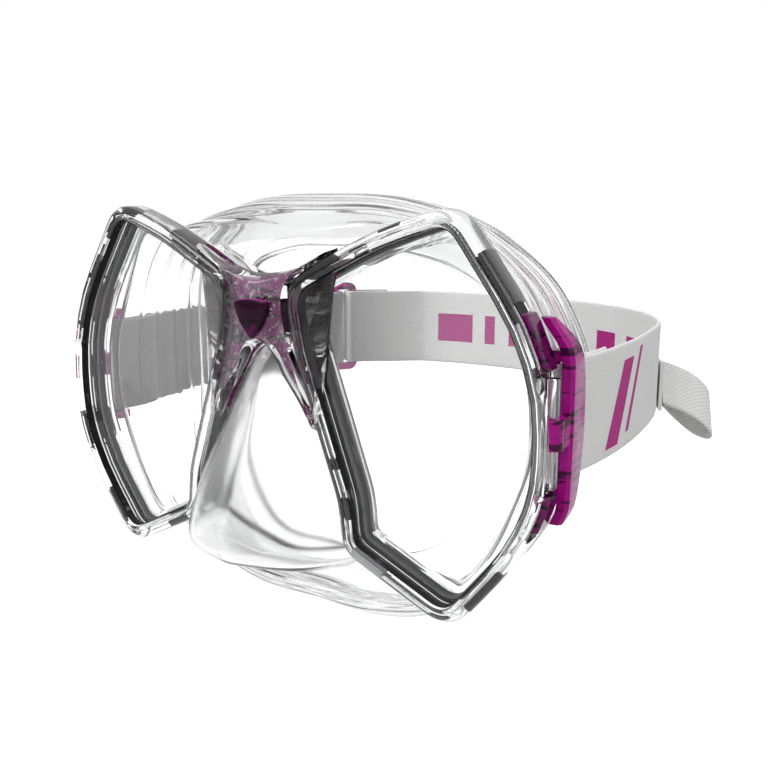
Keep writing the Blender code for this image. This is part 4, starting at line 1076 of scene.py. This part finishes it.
def pull_tab(material):
    """Drooping loop of webbing, rolled about its length and sheared down, and its sewn patch."""
    index = round(TAB_POSITION * (len(LINE) - 1))
    along = unit(LINE[index + 4] - LINE[index - 4])
    out = np.array((along[1], -along[0]))
    base = np.append(LINE[index] + out * (STRAP_THICKNESS / 2.0 + GAP), TAB_DROP_Z)
    axes = np.array(((out[0], out[1], 0.0), (-out[1], out[0], 0.0), (0.0, 0.0, 1.0)))
    turn = np.array(Euler((TAB_ROLL, 0.0, 0.0)).to_matrix())
    stand_off = TAB_THICKNESS + 2.0 * GAP
    ply = TAB_THICKNESS / 2.0 + GAP
    upper = [(0.0, ply), (TAB_LENGTH * 0.35, TAB_BULGE * 0.75), (TAB_LENGTH * 0.72, TAB_BULGE),
             (TAB_LENGTH, TAB_BULGE * 0.45)]
    knots = np.array([(x, -y) for x, y in upper] + upper[::-1])

    def hang(points):
        """Roll the loop about its length, shear it down by the droop and stand it off the patch."""
        local = points @ turn.T
        local = local + np.stack((np.full(local.shape[:2], stand_off), 0.0 * local[..., 0],
                                  -math.tan(TAB_DROOP) * local[..., 0]), -1)
        return local @ axes + base

    def lay(points):
        """Lay the patch flat on the strap: its length runs along the band."""
        return points[..., (1, 0, 2)] @ axes + base

    loop = ribbon("tab_loop", even(through(knots), 90), material, TAB_WIDTH, TAB_THICKNESS, "root", hang)
    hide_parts("pull_tab")
    reach = np.linspace(-TAB_PATCH_LENGTH / 2.0, TAB_PATCH_LENGTH / 2.0, 31)
    path = np.stack((reach, np.full(31, TAB_THICKNESS / 2.0)), -1)
    patch = ribbon("tab_sewn_patch", path, material, TAB_WIDTH, TAB_THICKNESS, "root", lay)
    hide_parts("tab_patch")


pull_tab(straps())


# --- stage, light and camera ---
CAMERA_PLACE = (0.16221, -0.18414, 0.03147)
CAMERA_AZIMUTH = math.radians(33.1)
CAMERA_DIP = math.radians(11.47)
CAMERA_LENS = 43.6
FLOOR_REACH = 3.0
FLOOR_GAP = 0.0008
LAMP_AIM = (0.0, 0.05, -0.02)
LAMPS = (("key", (-0.55, -0.75, 0.85), 0.6, 8.0), ("fill", (0.9, -0.35, 0.45), 0.7, 3.6),
         ("top", (0.0, 0.25, 1.1), 0.8, 5.0))
WHITE = (1.0, 1.0, 1.0, 1.0)


def camera():
    """Camera at the mask's front right, looking slightly down."""
    data = bpy.data.cameras.new("camera")
    data.lens = CAMERA_LENS
    data.sensor_width = 36.0
    data.clip_start = 0.01
    made = in_scene("camera", data)
    made.location = CAMERA_PLACE
    made.rotation_euler = (math.pi / 2.0 - CAMERA_DIP, 0.0, CAMERA_AZIMUTH)
    bpy.context.scene.camera = made


def floor():
    """Pale floor that reads as white where it is lit and keeps a faint shadow."""
    mesh = bpy.data.meshes.new("floor")
    level = CAD_BOX[0][2] - FLOOR_GAP
    signs = ((-1, -1), (1, -1), (1, 1), (-1, 1))
    corners = [(x * FLOOR_REACH, y * FLOOR_REACH, level) for x, y in signs]
    mesh.from_pydata(corners, [], [(0, 1, 2, 3)])
    made, tree, shader = new_material("pale_floor")
    seen = tree.shows_surroundings(tree.node("ShaderNodeLightPath").outputs)
    tree.fill(shader, {"Base Color": (0.42, 0.42, 0.42, 1.0), "Roughness": 0.9,
                       "Specular IOR Level": 0.0, "Emission Color": WHITE,
                       "Emission Strength": tree.maths("MULTIPLY", seen, 0.84)})
    mesh.materials.append(made)
    in_scene("floor", mesh)


def lamp(name, place, size, power):
    """Soft square lamp that points at the mask."""
    data = bpy.data.lights.new(name, "AREA")
    data.shape = "SQUARE"
    data.size = size
    data.energy = power
    made = in_scene(name, data)
    made.location = place
    made.rotation_euler = (Vector(LAMP_AIM) - Vector(place)).to_track_quat("-Z", "Y").to_euler()
    made.visible_camera = False
    made.visible_transmission = False


def world():
    """Pale surroundings: white straight through clear pieces, darker bands in what they reflect."""
    made = bpy.data.worlds.new("studio")
    made.use_nodes = True
    bpy.context.scene.world = made
    tree = Tree(made.node_tree)
    paths = tree.node("ShaderNodeLightPath").outputs
    direction = tree.split(tree.coordinate("Generated"))
    high = tree.ramp(direction["Z"], -0.05, 0.35)
    band = tree.maths("SINE", tree.maths("MULTIPLY", direction["X"], 7.0))
    card = tree.maths("MULTIPLY_ADD", band, 0.25, high)
    studio = tree.mix(tree.ramp(card, 0.05, 0.75), (0.06, 0.06, 0.065, 1.0), WHITE)
    reflected = tree.maths("MINIMUM", paths["Glossy Depth"], 1.0)
    strength = tree.maths("MULTIPLY_ADD", tree.shows_surroundings(paths), 0.58, 0.42)
    tree.fill(made.node_tree.nodes["Background"],
              {"Color": tree.mix(reflected, WHITE, studio), "Strength": strength})


camera()
floor()
for lamp_settings in LAMPS:
    lamp(*lamp_settings)
world()

scene = bpy.context.scene
scene.view_settings.view_transform = "Standard"
scene.cycles.max_bounces = 24
scene.cycles.transmission_bounces = 20
scene.cycles.transparent_max_bounces = 16
